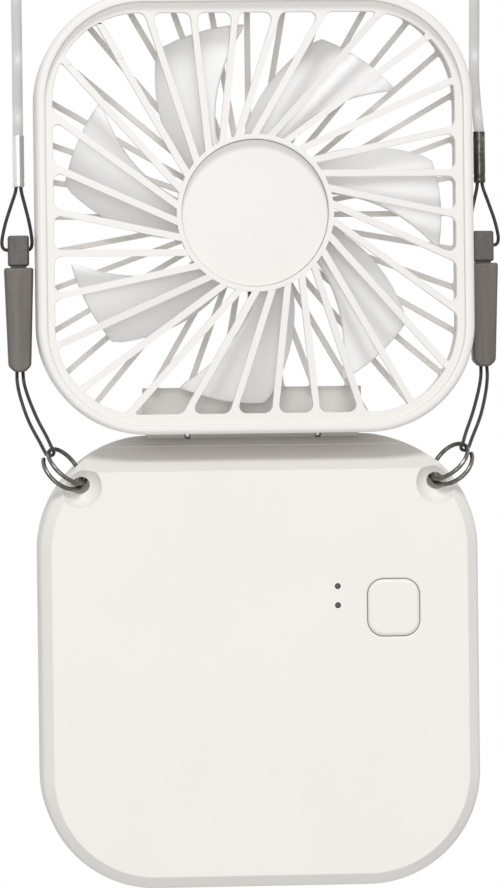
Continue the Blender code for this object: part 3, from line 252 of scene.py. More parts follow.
def bevel(piece, test, width, segments=4, clamp=True):
    """Rounds the edges that pass the test."""
    work_on(piece)
    flat = flat_edges(piece)
    if choose(piece, "EDGE", lambda e, at: e.key not in flat and test(e, at)):
        bpy.ops.mesh.bevel(offset=width, offset_type="OFFSET", segments=segments, profile=0.5,
                           affect="EDGES", clamp_overlap=clamp)
    done()
    return piece


CORNER_STEPS = 26


def tray(name, half, bottom, top, low_corner, high_corner, low, high):
    """A block with four round upright corners."""
    piece = block(name, -half, half, bottom, top, low, high)
    middle = (bottom + top) / 2
    bevel(piece, lambda e, at: upright(e, at) and at[0].y < middle, low_corner, CORNER_STEPS)
    bevel(piece, lambda e, at: upright(e, at) and at[0].y > middle and abs(at[0].x) > half - 0.01,
          high_corner, CORNER_STEPS)
    return piece


def sink(piece, level, margin, floor):
    """Presses the face at one level down or up to the floor, leaving a margin of land."""
    choose(piece, "FACE", lambda f, at: at_level(level)(f, at) and f.area > 20.0)
    bpy.ops.mesh.inset(thickness=margin, depth=0.0)
    bpy.ops.mesh.extrude_region_move(TRANSFORM_OT_translate={"value": (0.0, 0.0, floor - level)})
    done()
    return piece


def modify(piece, kind, **settings):
    """Puts a modifier on the piece and applies it at once."""
    work_on(piece)
    step = piece.modifiers.new(kind.lower(), kind)
    for setting, value in settings.items():
        setattr(step, setting, value)
    bpy.ops.object.modifier_apply(modifier=step.name)


def carve(piece, *tools, how="DIFFERENCE"):
    """Takes the tools out of the piece, or joins them to it, and throws the tools away."""
    for tool in tools:
        modify(piece, "BOOLEAN", operation=how, solver="EXACT", object=tool)
        bpy.data.objects.remove(tool, do_unlink=True)
    return piece


def fuse(piece, *others):
    return carve(piece, *others, how="UNION")


def copy_of(piece, name):
    twin = piece.copy()
    twin.data = piece.data.copy()
    bpy.context.collection.objects.link(twin)
    return named(twin, name)


def gather(pieces, name):
    """Several meshes as one object."""
    work_on(pieces[0])
    for piece in pieces:
        piece.select_set(True)
    bpy.ops.object.join()
    return named(bpy.context.object, name)


def tidy(piece, gap=0.001):
    """Merges doubled corners and turns all faces outwards."""
    choose(piece, "FACE", everything)
    bpy.ops.mesh.remove_doubles(threshold=gap)
    bpy.ops.mesh.dissolve_degenerate(threshold=gap)
    bpy.ops.mesh.select_all(action="SELECT")
    bpy.ops.mesh.fill_holes(sides=4)
    bpy.ops.mesh.normals_make_consistent(inside=False)
    done()
    return piece


# %% Hanging a piece up
def hang(piece, body, *replaced, x=0.0, rise=0.0, smooth=32.0):
    """Takes a finished piece from the board to its place, and lets it stand for CAD nodes."""
    work_on(piece)
    piece.matrix_world = board @ Matrix.Translation((x, rise, 0.0))
    settle()
    bpy.ops.object.shade_smooth_by_angle(angle=math.radians(smooth))
    modify(piece, "WEIGHTED_NORMAL", keep_sharp=True)
    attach(piece, body)
    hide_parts(*replaced)
    print(piece.name, "stands for", ", ".join(replaced), "with", len(piece.data.polygons), "faces")


# %% [markdown]
# ## Neck cord
# The lanyard is made first, because the split rings' places decide where the front cover is
# tunnelled. The neck cord is a round braided cord. It leaves the left sleeve, runs up and over,
# and ends in the right sleeve. Its middle line is a smooth curve through a few points, drawn out
# every few millimetres, and a bevel gives the curve its thickness.

# %% Smooth lines
def smooth_line(points, spacing):
    """Points about a spacing apart on one smooth curve through the given points."""
    knots = [Vector(point) for point in points]
    ends = [2 * knots[0] - knots[1]] + knots + [2 * knots[-1] - knots[-2]]
    line = []
    for a, b, c, d in zip(ends, ends[1:], ends[2:], ends[3:]):
        steps = max(1, round((c - b).length / spacing))
        for i in range(steps):
            t = i / steps
            bend = (2 * a - 5 * b + 4 * c - d) * t * t + (3 * b - a - 3 * c + d) * t ** 3
            line.append((2 * b + (c - a) * t + bend) / 2)
    line.append(knots[-1])
    return line


def length_of(line):
    return sum((b - a).length for a, b in zip(line, line[1:]))


def strand(name, line, diameter, body, *replaced, roundness=6):
    """A cord or wire along a line on the board, as a bevelled curve that becomes a mesh."""
    curve = bpy.data.curves.new(name, "CURVE")
    curve.dimensions = "3D"
    curve.bevel_depth = diameter / 2 * MM
    curve.bevel_resolution = roundness
    curve.use_fill_caps = True
    spline = curve.splines.new("POLY")
    spline.points.add(len(line) - 1)
    for point, place in zip(spline.points, line):
        point.co = (*on_board(*place), 1.0)
    spline.use_smooth = True
    piece = bpy.data.objects.new(name, curve)
    bpy.context.collection.objects.link(piece)
    work_on(piece)
    bpy.ops.object.convert(target="MESH")
    piece = named(bpy.context.object, name)
    choose(piece, "FACE", everything)
    bpy.ops.mesh.remove_doubles(threshold=0.001 * MM)
    bpy.ops.mesh.normals_make_consistent(inside=False)
    done()
    bpy.ops.object.shade_smooth_by_angle(angle=math.radians(50))
    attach(piece, body)
    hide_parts(*replaced)
    return piece


# %% Neck cord
CORD_DIAMETER = 1.9
CORD_REACH = {-1: 42.85, 1: 42.65}
CORD_LEAN = 0.8
SLEEVE_LOW, SLEEVE_HIGH = 45.75, 55.25
LANYARD_LEVEL = 4.0
SETBACK = 4.5
LOOP_HEIGHT = 67.1
SIDES = ((-1, "left"), (1, "right"))


def neck_route():
    """The cord's own points, from the left sleeve over the top to the right sleeve."""
    shares = [(1.0, 0.0), (1.0, 0.13), (1.0, 0.26), (1.0, 0.38), (0.985, 0.50), (0.87, 0.69),
              (0.6, 0.877), (0.25, 0.98)]
    low, rise = SLEEVE_HIGH + 0.3, LOOP_HEIGHT - 0.3
    left = [(-CORD_REACH[-1] * x, y) for x, y in shares]
    right = [(CORD_REACH[1] * x - min(CORD_LEAN, rise * y / 10), y) for x, y in shares[::-1]]
    return [(x, low + rise * y, LANYARD_LEVEL + SETBACK * y)
            for x, y in left + [(0.0, 1.0)] + right]


inside_sleeve = Vector((0, 1.0, 0))
neck_line = smooth_line(neck_route(), 2.4)
neck_line = [neck_line[0] - inside_sleeve] + neck_line + [neck_line[-1] - inside_sleeve]
neck_cord = strand("braided_neck_cord", neck_line, CORD_DIAMETER, "neck_loop", "neck_cord",
                   roundness=8)
print("neck cord, mm:", round(length_of(neck_line), 1))

# %% [markdown]
# ## Strings
# A thin woven string goes from each sleeve through the hole in the clip's tongue and back, and
# another ties the clip to the split ring. Each is one closed loop, so two strands run side by
# side. The lower string bends round the ring's wire, and needs the ring's own directions.

# %% Split ring directions
RING_RADIUS, RING_WIRE, RING_SPLIT, RING_SPLAY = 4.25, 0.8, 0.64, 0.35
STRING_DIAMETER = 0.65
CLIP_REACH = 43.05
STRING_HOLE, TONGUE_HALF = 34.15, 1.95


def ring_frame(side):
    """The middle of a split ring with its two directions in the ring and its normal."""
    across = Vector((0.75, -0.66, 0.0)).normalized()
    towards = Vector((-0.323, -0.3675, 0.87))
    towards = (towards - across * towards.dot(across)).normalized()
    normal = across.cross(towards)
    middle = Vector((-35.4, -6.05, 14.1))
    return [Vector((-side * v.x, v.y, v.z)) for v in (middle, across, towards, normal)]


def ring_point(side, degrees, radius, shift):
    middle, across, towards, normal = ring_frame(side)
    turn = math.radians(degrees)
    return middle + (across * math.cos(turn) + towards * math.sin(turn)) * radius + normal * shift


# %% Upper and lower strings
def upper_string(side):
    """From the sleeve, through the tongue's hole and back."""
    hole, half = STRING_HOLE, TONGUE_HALF
    rise = 46.25 - hole
    pair = (STRING_DIAMETER + 0.15) / 2
    shares = ((0.0, 1.0), (0.08, 0.88), (0.42, 0.66), (0.78, 0.42), (1.0, 0.21), (1.04, 0.09),
              (0.86, 0.015))
    strands = []
    for way, bulge in ((side, 0.5), (-side, 0.0)):
        swell = half + STRING_DIAMETER / 2 + 0.15 + bulge
        strand_points = []
        for out_share, height in shares:
            offset = pair + (swell - pair) * out_share
            middle = side * (CLIP_REACH - (CLIP_REACH - CORD_REACH[side]) * height)
            strand_points.append((middle + way * offset, hole + rise * height, LANYARD_LEVEL))
        strands.append(strand_points)
    inside = [(side * (CLIP_REACH + half * share), hole, LANYARD_LEVEL) for share in (0.5, -0.5)]
    return smooth_line(strands[0] + inside + strands[1][::-1], 0.45)


def lower_string(side):
    """From the clip, round the split ring's wire and back."""
    anchor = ring_point(side, 180, RING_RADIUS, -RING_SPLIT)
    middle, across, towards, normal = ring_frame(side)
    reach = (RING_WIRE + STRING_DIAMETER) / 2 + 0.15
    start = Vector((side * CLIP_REACH, 12.1, LANYARD_LEVEL))
    outward = Vector((side, 0, 0))
    strands = {1: [], -1: []}
    for down, over, apart in ((0.0, 0.0, 0.62), (0.16, 0.02, 0.70), (0.36, 0.16, 0.82),
                              (0.62, 0.44, 0.94), (0.86, 0.80, 1.0)):
        point = Vector((start.x + (anchor.x - start.x) * over,
                        start.y + (anchor.y - start.y) * down,
                        start.z + (anchor.z - start.z) * (over + down) / 2))
        spread = (outward * (1 - over) + normal * over).normalized() * reach * apart
        strands[1].append(point + spread)
        strands[-1].append(point - spread)
    turn = [anchor + normal * reach, anchor + across * reach * 0.75 + normal * reach * 0.7,
            anchor + across * reach * 1.08, anchor + across * reach * 0.75 - normal * reach * 0.7,
            anchor - normal * reach]
    return smooth_line(strands[1] + turn + strands[-1][::-1], 0.45)


strings = []
for side, label in SIDES:
    upper = strand("upper_string_" + label, upper_string(side), STRING_DIAMETER, "neck_loop",
                   "upper_loop_" + label)
    line = lower_string(side)
    lower = strand("lower_string_" + label, line, STRING_DIAMETER, "fan_body",
                   "lower_loop_" + label)
    strings += [upper, lower]
    print(label, "strings, mm:", round(length_of(upper_string(side)), 1), round(length_of(line), 1))

# %% [markdown]
# ## Split rings
# Each ring is one and a half turns of spring wire, with its two turns held a little apart where
# the string and the plastic sit between them. It is a curve like the strings, made a mesh because
# wire has hard cut ends that want a small bevel.


# %% Split rings
def ring_line(side):
    line = []
    for degrees in range(-15, 526, 5):
        swell = RING_SPLAY * max(0.0, math.sin(math.radians(degrees)))
        if degrees <= 180:
            shift = -RING_SPLIT - swell
        elif degrees >= 360:
            shift = RING_SPLIT + swell
        else:
            shift = -RING_SPLIT * math.cos(math.radians(degrees - 180))
        line.append(ring_point(side, degrees, RING_RADIUS, shift))
    return line


rings = []
for side, label in SIDES:
    ring = strand("wire_ring_" + label, ring_line(side), RING_WIRE, "fan_body",
                  "split_ring_" + label)
    modify(ring, "BEVEL", width=0.08 * MM, segments=2, angle_limit=math.radians(60))
    bpy.ops.object.shade_smooth_by_angle(angle=math.radians(40))
    rings.append(ring)
print("rings:", [(r.name, len(r.data.polygons)) for r in rings])

# %% [markdown]
# ## Front frame
# The head's front is a raised rim round a plate with thirty leaning spokes. A slot is what is
# left of the square opening between two straight cuts, so a copy of the opening is bisected
# along the sides of two spokes and its outer corners are rounded. All the slots are then one
# cutter.

# %% Slots
HEAD_HALF, HEAD_TOP, HEAD_CORNER = 40.0, 40.35, 19.8
OPENING_HALF, OPENING_TOP, OPENING_CORNER = 36.85, 36.65, 15.9


def sharp_uprights(piece, least, test):
    """Places of the outward upright corners, with half their angle."""
    owners = {}
    for face in piece.data.polygons:
        for key in face.edge_keys:
            owners.setdefault(key, []).append(face)
    found = []
    for (a, b), faces in owners.items():
        first, second = (piece.data.vertices[i].co for i in (a, b))
        if len(faces) == 2 and abs(first.z - second.z) > 0.01 and test(first):
            bend = faces[0].normal.angle(faces[1].normal)
            outward = faces[0].normal.dot(faces[1].center - faces[0].center) < 0
            if bend > least and outward:
                found.append((first.copy(), (math.pi - bend) / 2))
    return found


def slot_cutter(name, opening, count, turn, lean, width, inner, fillet):
    """All the slots between the spokes, cut from the shape of the opening."""
    slots = []
    pitch = 360 / count
    for i in range(count):
        slot = copy_of(opening, "slot")
        near, far = (math.radians(turn + pitch * (i + share)) for share in (0, 1))
        middle = (near + far) / 2
        planes = []
        for turned_to, offset, keep in ((near, lean + width / 2, 1), (far, lean - width / 2, -1)):
            aside = Vector((-math.sin(turned_to), math.cos(turned_to), 0))
            planes.append((aside * offset, aside * keep))
        ahead = Vector((math.cos(middle), math.sin(middle), 0))
        planes.append((ahead * inner, ahead))
        work_on(slot)
        bpy.ops.object.mode_set(mode="EDIT")
        for place, normal in planes:
            bpy.ops.mesh.select_all(action="SELECT")
            bpy.ops.mesh.bisect(plane_co=place, plane_no=normal, use_fill=True, clear_inner=True)
        done()
        for corner, half in sharp_uprights(slot, math.radians(25), lambda p: p.length > 27):
            bevel(slot, lambda e, at: upright(e, at) and (at[0] - corner).to_2d().length < 0.01,
                  min(fillet / math.tan(half), 2.2), 5)
        slots.append(tidy(slot, 0.06))
    bpy.data.objects.remove(opening, do_unlink=True)
    return gather(slots, name)


def outside(p, half_width, half_height, corner):
    """How far a point lies outside a square with round corners."""
    dx, dy = abs(p.x) - half_width + corner, abs(p.y) - half_height + corner
    return math.hypot(max(dx, 0.0), max(dy, 0.0)) + min(max(dx, dy), 0.0) - corner


# %% Front frame
FACE, FRAME_REAR = 17.0, 9.8
PLATE_FRONT, PLATE_REAR = 15.6, 14.1
HUB_RING_RADIUS, HUB_RING_FRONT = 14.42, 15.65
RECESS_RADIUS = 13.5


def head_tray(name, inset, bottom, low, high):
    """The head's outline drawn in by the inset, but with its own lower edge."""
    corner = HEAD_CORNER - inset
    return tray(name, HEAD_HALF - inset, bottom, HEAD_TOP - inset, corner, corner, low, high)


def recess_edge(e, at):
    return at_level(HUB_RING_FRONT)(e, at) and all(p.to_2d().length < RECESS_RADIUS + 0.02
                                                   for p in at)


def slot_edge(e, at):
    return at_level(PLATE_FRONT)(e, at) and all(
        outside(p, OPENING_HALF, OPENING_TOP, OPENING_CORNER) < 0.1
        and p.to_2d().length > HUB_RING_RADIUS + 0.18 for p in at)


front_frame = head_tray("front_frame", 0.0, -HEAD_TOP, FRAME_REAR, FACE)
bevel(front_frame, at_level(FACE), 0.8, 5)
sink(front_frame, FACE, 0.95, PLATE_FRONT)
bevel(front_frame, lambda e, at: at_level(FACE)(e, at)
      and outside(at[0], 38.25, 38.6, 18.05) < 0.05, 0.25, 2)
carve(front_frame, head_tray("lap", 0.75, -39.25, FRAME_REAR - 1.0, 11.3),
      head_tray("room", 1.8, -38.2, FRAME_REAR - 1.0, PLATE_REAR))
opening = tray("opening", OPENING_HALF, -OPENING_TOP, OPENING_TOP, OPENING_CORNER, OPENING_CORNER,
               13.0, 16.6)
carve(front_frame, slot_cutter("front_slots", opening, count=30, turn=-0.3, lean=7.2, width=1.25,
                               inner=11.5, fillet=1.4))
fuse(front_frame, rod("hub_ring", 0, 0, HUB_RING_RADIUS, 12.4, HUB_RING_FRONT, 128))
tidy(front_frame, 0.01)
carve(front_frame, rod("recess", 0, 0, RECESS_RADIUS, 13.0, FACE),
      rod("eye", 0, 0, 12.5, 11.4, 14.3))
tidy(front_frame, 0.01)
bevel(front_frame, recess_edge, 0.15, 3)
bevel(front_frame, slot_edge, 0.16, 2, clamp=False)
tidy(front_frame, 0.004)
hang(front_frame, "head", "front_grille", rise=HEAD_CENTRE)

# %% [markdown]
# ## Face disc
# A smooth disc is pressed into the recess of the hub ring. It is turned on a lathe: a profile of
# a few corners is spun once round the fan's axis. The same lathe makes the hub, the sleeves and
# the screws.


# %% The lathe
def turned(name, profile, steps=96):
    """A profile of radius and height, spun round the z axis of the board."""
    bpy.ops.object.select_all(action="DESELECT")
    bpy.ops.mesh.primitive_circle_add(vertices=len(profile), fill_type="NOTHING")
    piece = named(bpy.context.object, name)
    for corner, (radius, level) in zip(piece.data.vertices, profile):
        corner.co = (radius, 0.0, level)
    choose(piece, "VERT", everything)
    bpy.ops.mesh.spin(steps=steps, angle=math.tau, center=(0, 0, 0), axis=(0, 0, 1),
                      use_auto_merge=True, use_normal_flip=False)
    done()
    tidy(piece)
    work_on(piece)
    bpy.ops.object.mode_set(mode="EDIT")
    bpy.ops.mesh.select_all(action="SELECT")
    bpy.ops.mesh.dissolve_degenerate(threshold=0.0005)
    bpy.ops.mesh.delete_loose()
    done()
    return piece


# %% Face disc
face_disc = turned("face_disc", [(0, 14.3), (6.0, 14.29), (11.0, 14.27), (13.0, 14.25),
                                 (13.36, 14.22), (13.45, 14.12), (13.45, 13.3), (0, 13.3)])
hang(face_disc, "head", "hub_disc", rise=HEAD_CENTRE, smooth=40)

# %% [markdown]
# ## Rear shell
# Behind the blades is a shallow tray with straight spokes, a hub for the motor and a block that
# carries the hinge. The tray is bevelled and sunk like the frame. The slots stop above the hinge
# block, so that block is taken out of the opening before the slots are cut from it.

# %% Rear shell
PIN_LEVEL, PIN_BORE = -0.4, 1.25
BARREL_RADIUS, BARREL_ROOM, BARREL_HALF = 2.8, 3.4, 11.65


def at_sides(*reaches):
    """A test for edges that lie at one of these distances left or right of the middle."""
    return lambda e, at: all(any(abs(abs(p.x) - reach) < 0.01 for reach in reaches) for p in at)


SHELL_FOOT = -40.0
HOUSING_TOP = -31.9
HOUSING_HALF = 20.3
SHELL_TOP, LAP_TOP, SHELL_FLOOR = 9.5, 11.0, 1.6
SLOT_INSET = 1.95
SLOT_HALF, SLOT_TOP, SLOT_CORNER = (HEAD_HALF - SLOT_INSET, HEAD_TOP - SLOT_INSET,
                                    HEAD_CORNER - SLOT_INSET)
rear_shell = head_tray("rear_shell", 0.0, SHELL_FOOT, 0.0, SHELL_TOP)
bevel(rear_shell, at_level(0.0), 2.2, 8)
sink(rear_shell, SHELL_TOP, 1.05, LAP_TOP)
sink(rear_shell, LAP_TOP, 0.75, SHELL_FLOOR)
opening = head_tray("opening", SLOT_INSET, SHELL_FOOT + SLOT_INSET, -1.0, SHELL_FLOOR + 1.0)
carve(opening, block("hinge_notch", -HOUSING_HALF, HOUSING_HALF, -41.0, HOUSING_TOP, -2.0, 3.6))
carve(rear_shell, slot_cutter("rear_slots", opening, count=36, turn=0.0, lean=0.0, width=1.0,
                              inner=13.17, fillet=0.6))
for level in (0.0, SHELL_FLOOR):
    bevel(rear_shell, lambda e, at: at_level(level)(e, at) and
          all(outside(p, SLOT_HALF, SLOT_TOP, SLOT_CORNER) < 0.05 and p.length > 13.0 for p in at),
          0.14, 2)
housing = block("housing", -HOUSING_HALF, HOUSING_HALF, -39.2, HOUSING_TOP, 0.8, 4.6)
bevel(housing, lambda e, at: at_level(4.6)(e, at) and at[0].y > -39 and at[1].y > -39, 0.5, 3)
tube = rod("bearing_tube", 0, 0, 3.0, 0.8, 9.15, 48)
bevel(tube, at_level(9.15), 0.2, 2)
fuse(rear_shell, tube, housing)
lead_way = block("lead_way", -1.0, 1.0, -32.9, -30.9, 1.6, 3.2)
carve(rear_shell, rod("bore", 0, 0, 2.1, 1.75, 10.0, 48), lead_way)
for side in (-1, 1):
    ends = sorted((side * BARREL_HALF, side * 20.0))
    carve(rear_shell, cross_rod("knuckle_room", -HEAD_CENTRE, PIN_LEVEL, BARREL_ROOM, *ends))
barrel = cross_rod("barrel", -HEAD_CENTRE, PIN_LEVEL, BARREL_RADIUS, -BARREL_HALF, BARREL_HALF)
bevel(barrel, at_sides(BARREL_HALF), 0.25, 2)
fuse(rear_shell, barrel)
for side in (-1, 1):
    ends = sorted((side * 5.65, side * 12.65))
    carve(rear_shell, cross_rod("pin_bore", -HEAD_CENTRE, PIN_LEVEL, PIN_BORE, *ends, 32))
hang(rear_shell, "head", "rear_grille_shell", rise=HEAD_CENTRE)

# %% [markdown]
# ## Impeller
# Seven sickle blades grow out of a cup-shaped hub. One blade is a grid whose corners are moved to
# the blade's curved surface, and Solidify gives it a wall. The grid is laid out at each blade's own
# angle in turn, and joined to the hub.


# %% One blade
BLADES = 7
BLADE_TURN, BLADE_SWEEP, HALF_CHORD = 2.4, 29.0, 14.0
BLADE_ROOT, BLADE_SPAN = 12.1, 22.7


def blade(index):
    """A sheet from the hub to the tip, curved along its chord and twisted along its span."""
    across, along = 17, 19
    piece = added("blade", bpy.ops.mesh.primitive_grid_add, x_subdivisions=across - 1,
                  y_subdivisions=along - 1, size=2.0)
    for corner in piece.data.vertices:
        place, share = corner.co.x, (corner.co.y + 1) / 2
        taper = 1.0 - 0.05 * max(0.0, (share - 0.94) / 0.06) ** 2
        angle = math.radians(BLADE_TURN + index * 360 / BLADES + BLADE_SWEEP * (1 - share)
                             + HALF_CHORD * place * taper)
        radius = BLADE_ROOT + BLADE_SPAN * share
        level = 7.9 - place * 3.5 * (1 - 0.38 * share) + 1.1 * (1 - place * place) * share
        corner.co = (radius * math.cos(angle), radius * math.sin(angle), level)
    choose(piece, "FACE", everything)
    bpy.ops.mesh.normals_make_consistent(inside=False)
    done()
    modify(piece, "SOLIDIFY", thickness=1.1, offset=0.0)
    modify(piece, "BEVEL", width=0.32, segments=3, angle_limit=math.radians(50),
           use_clamp_overlap=False)
    return piece


# %% Impeller
hub = turned("impeller_wheel", [
    (12.6, 11.2), (12.6, 3.2), (11.6, 3.2), (11.6, 10.8), (1.05, 10.8), (1.05, 11.8), (12.0, 11.8),
    (12.25, 11.75), (12.45, 11.6), (12.57, 11.4)], 96)
for index in range(BLADES):
    fuse(hub, blade(index))
hang(hub, "rotor", "impeller", rise=HEAD_CENTRE, smooth=38)

# %% [markdown]
# ## Front cover
# The battery body's front is a deep tray turned over. Its edge is a flat chamfer that is crisp on
# the inside and soft on the outside. The top is sliced off at a slope, which makes the shelf below
# the head. Round dishes with curved tunnels let the split rings through.

# %% Front cover
BODY_HALF, BODY_TOP, BODY_BOTTOM = 40.3, -0.3, -83.1
FRONT_REAR, REAR_FRONT = 6.15, 5.85
CHAMFER, SHELF_SLOPE = 2.2, 0.40625


def slice_shelf(piece):
    """Slices the top off along the shelf's slope."""
    choose(piece, "FACE", everything)
    bpy.ops.mesh.bisect(plane_co=(0.0, BODY_TOP, 1.0), plane_no=(0.0, 1.0, SHELF_SLOPE),
                        use_fill=True, clear_outer=True)
    done()


def body_room(name):
    return tray(name, 38.3, -81.1, -9.3, 18.8, 26.0, 2.0, 15.0)


def body_tray(name, low, high):
    return tray(name, BODY_HALF, BODY_BOTTOM, BODY_TOP, 20.8, 21.1, low, high)


front_cover = body_tray("front_case", FRONT_REAR, FACE)
bevel(front_cover, at_level(FACE), CHAMFER, 1)
bevel(front_cover, at_level(FACE - CHAMFER), 0.9, 4)
bevel(front_cover, at_level(FACE), 0.12, 2)
bevel(front_cover, at_level(FRONT_REAR), 0.2, 2)
slice_shelf(front_cover)
bevel(front_cover, lambda e, at: all(abs(p.y - BODY_TOP + (p.z - 1.0) * SHELF_SLOPE) < 0.01
                                     and abs(p.z - FACE) < 0.01 for p in at), 0.45, 4)
carve(front_cover, body_room("room"))


# %% Eyelets
DISH_RADIUS = 4.369


def dish_middle(side):
    return Vector((side * 32.7, -9.35, 18.969))


def eyelet_dish(side):
    return added("dish", bpy.ops.mesh.primitive_uv_sphere_add, segments=64, ring_count=48,
                 radius=DISH_RADIUS, location=dish_middle(side))


def ring_tunnel(side):
    middle, across, towards, _ = ring_frame(side)
    turn = Matrix((across, towards, across.cross(towards))).transposed().to_euler()
    return added("tunnel", bpy.ops.mesh.primitive_torus_add, major_segments=72, minor_segments=28,
                 major_radius=RING_RADIUS, minor_radius=1.55, location=middle, rotation=turn)


for side in (-1, 1):
    carve(front_cover, eyelet_dish(side))
    bevel(front_cover, lambda e, at: all(abs((p - dish_middle(side)).length - DISH_RADIUS) < 0.02
                                         and p.z > FACE - 0.01 for p in at), 0.22, 3)
    carve(front_cover, ring_tunnel(side))


# %% Openings of the front cover
def rounded_hole(name, x, y, half_width, half_height, corner, low, high):
    piece = block(name, x - half_width, x + half_width, y - half_height, y + half_height, low, high)
    return bevel(piece, upright, corner, 10)


BUTTON_X, BUTTON_Y = 24.4, -32.2
POSTS = [(-30.67, -73.47), (-20.0, -13.9), (30.67, -73.47), (20.0, -13.9)]
HOLE_HALF, HOLE_HALF_HEIGHT = 4.85, 5.3


def at_posts(name, radius, low, high, sides):
    """The same rod at each of the four screw posts."""
    return [rod(name, x, y, radius, low, high, sides) for x, y in POSTS]


fuse(front_cover, *at_posts("post", 2.6, 2.3, 16.0, 32))
carve(front_cover, *at_posts("screw_way", 0.85, 1.3, 9.0, 24))
carve(front_cover, rounded_hole("button_hole", BUTTON_X, BUTTON_Y, HOLE_HALF, HOLE_HALF_HEIGHT, 3.0,
                                14.0, 18.0))
bevel(front_cover, lambda e, at: at_level(FACE)(e, at) and all(
    abs(p.x - BUTTON_X) < HOLE_HALF + 0.01 and abs(p.y - BUTTON_Y) < HOLE_HALF_HEIGHT + 0.01
    for p in at), 0.4, 4)
for y in (-28.15, -31.65):
    carve(front_cover, rod("light_hole", 14.15, y, 0.55, 14.0, 18.0, 32))
socket_hole = block("socket_hole", -41.3, -32.0, -34.15, -24.65, 7.85, 11.65)
bevel(socket_hole, lambda e, at: abs(at[0].x - at[1].x) > 1, 1.7, 8)
carve(front_cover, socket_hole)
hang(front_cover, "fan_body", "front_cover", smooth=28)

# %% [markdown]
# ## Rear cover
# The body's back is a shallow tray with soft edges, four screw seats and two hinge knuckles. A lip
# inside its wall reaches past the parting line, so that no light passes between the two covers.

# %% Rear cover
rear_cover = body_tray("rear_case", 0.0, REAR_FRONT)
bevel(rear_cover, at_level(0.0), 1.4, 6)
bevel(rear_cover, at_level(REAR_FRONT), 0.2, 2)
slice_shelf(rear_cover)
carve(rear_cover, body_room("room"))
lip = tray("lip", 38.7, -81.5, -8.9, 19.2, 26.4, 3.0, 5.4)
fuse(lip, tray("lip_top", 38.0, -80.8, -9.6, 18.5, 25.7, 3.0, 7.8))
carve(lip, tray("lip_room", 37.2, -80.0, -10.4, 17.7, 24.9, 1.0, 9.0))
fuse(rear_cover, lip)
posts = [rod("board_post", x, y, 1.5, 1.0, 6.7, 24) for x in (-17.5, 28.0) for y in (-20.4, -34.4)]
fuse(rear_cover, *posts)
carve(rear_cover, *at_posts("post_room", 2.9, 2.0, 9.0, 32),
      *at_posts("screw_way", 0.85, 0.15, 3.0, 24), *at_posts("screw_seat", 1.45, -1.0, 1.3, 48))
carve(rear_cover, cross_rod("barrel_room", 0.0, PIN_LEVEL, BARREL_ROOM, -12.55, 12.55))
for side in (-1, 1):
    ends = sorted((side * 12.7, side * 19.7))
    knuckle = cross_rod("knuckle", 0.0, PIN_LEVEL, BARREL_RADIUS, *ends)
    bevel(knuckle, at_sides(12.7, 19.7), 0.25, 2)
    fuse(rear_cover, knuckle)
    ends = sorted((side * 11.7, side * 18.7))
    carve(rear_cover, cross_rod("bore", 0.0, PIN_LEVEL, PIN_BORE, *ends, 32))
hang(rear_cover, "fan_body", "rear_cover", smooth=28)

# %% [markdown]
# ## Power button
# The button is a cap with round corners that stands a little proud of the cover. A wide flange
# under the cover keeps it in, and a stem presses the switch. Only the cap's soft upper edge shows,
# so that edge gets the most steps.

# %% Power button
button = rounded_hole("power_key", 0.0, 0.0, 4.75, 5.2, 2.9, 14.15, 17.3)
bevel(button, at_level(17.3), 0.7, 6)
flange = rounded_hole("flange", 0.0, 0.0, 5.9, 6.15, 4.0, 13.6, 14.7)
stem = rod("stem", 0.0, 0.0, 1.8, 12.48, 14.15, 32)
fuse(button, flange, stem)
hang(button, "button", "power_button", x=BUTTON_X, rise=BUTTON_Y)

# %% [markdown]
# ## Release clips
# Each side of the lanyard opens at a small clip: a tapered body hangs on the lower string, and a
# tongue on the upper string snaps into it. Both are blocks with all their edges rounded. The
# body's foot is scaled narrower and its lower corners are chamfered.


# %% Release clips
CLIP_HALF, FOOT_HALF, CLIP_FOOT, CLIP_MIDDLE = 2.7, 2.05, 11.7, 20.0


def clip_body(name):
    piece = block(name, -CLIP_HALF, CLIP_HALF, CLIP_FOOT, 30.9, 2.0, 6.0)
    choose(piece, "VERT", lambda v, at: at[0].y < CLIP_MIDDLE)
    bpy.ops.transform.resize(value=(FOOT_HALF / CLIP_HALF, 1.0, 1.0),
                             center_override=(0, CLIP_FOOT, LANYARD_LEVEL))
    done()
    bevel(piece, lambda e, at: all(p.y < 12 for p in at) and abs(at[0].z - at[1].z) > 1, 1.1, 1)
    bevel(piece, everything, 0.45, 4)
    mouth = block("string_mouth", -1.0, 1.0, 10.0, 12.7, 3.6, 4.4)
    bevel(mouth, lambda e, at: abs(at[0].y - at[1].y) > 1, 0.38, 4)
    return carve(piece, block("tongue_room", -1.75, 1.75, 18.9, 31.9, 2.8, 5.2), mouth)


def clip_tongue(name):
    piece = block(name, -TONGUE_HALF, TONGUE_HALF, 31.2, 36.85, 2.3, 5.7)
    bevel(piece, everything, 0.45, 4)
    blade_part = block("tongue_blade", -1.45, 1.45, 19.2, 32.2, 3.1, 4.9)
    bevel(blade_part, lambda e, at: all(p.y < 20 for p in at), 0.5, 2)
    fuse(piece, blade_part)
    return carve(piece, cross_rod("string_hole", STRING_HOLE, LANYARD_LEVEL, 0.95, -3.0, 3.0, 32))


clip_pieces = []
for side, label in SIDES:
    body = clip_body("clip_case_" + label)
    hang(body, "fan_body", "clip_body_" + label, x=side * CLIP_REACH, smooth=40)
    tongue = clip_tongue("clip_catch_" + label)
    hang(tongue, "neck_loop", "clip_tongue_" + label, x=side * CLIP_REACH, smooth=40)
    clip_pieces += [body, tongue]

# %% [markdown]
# ## Sleeves
# A thin metal sleeve is crimped over the end of the neck cord and the knot of the string. It is
# turned, with rolled ends and a shallow crimp groove near the lower end.

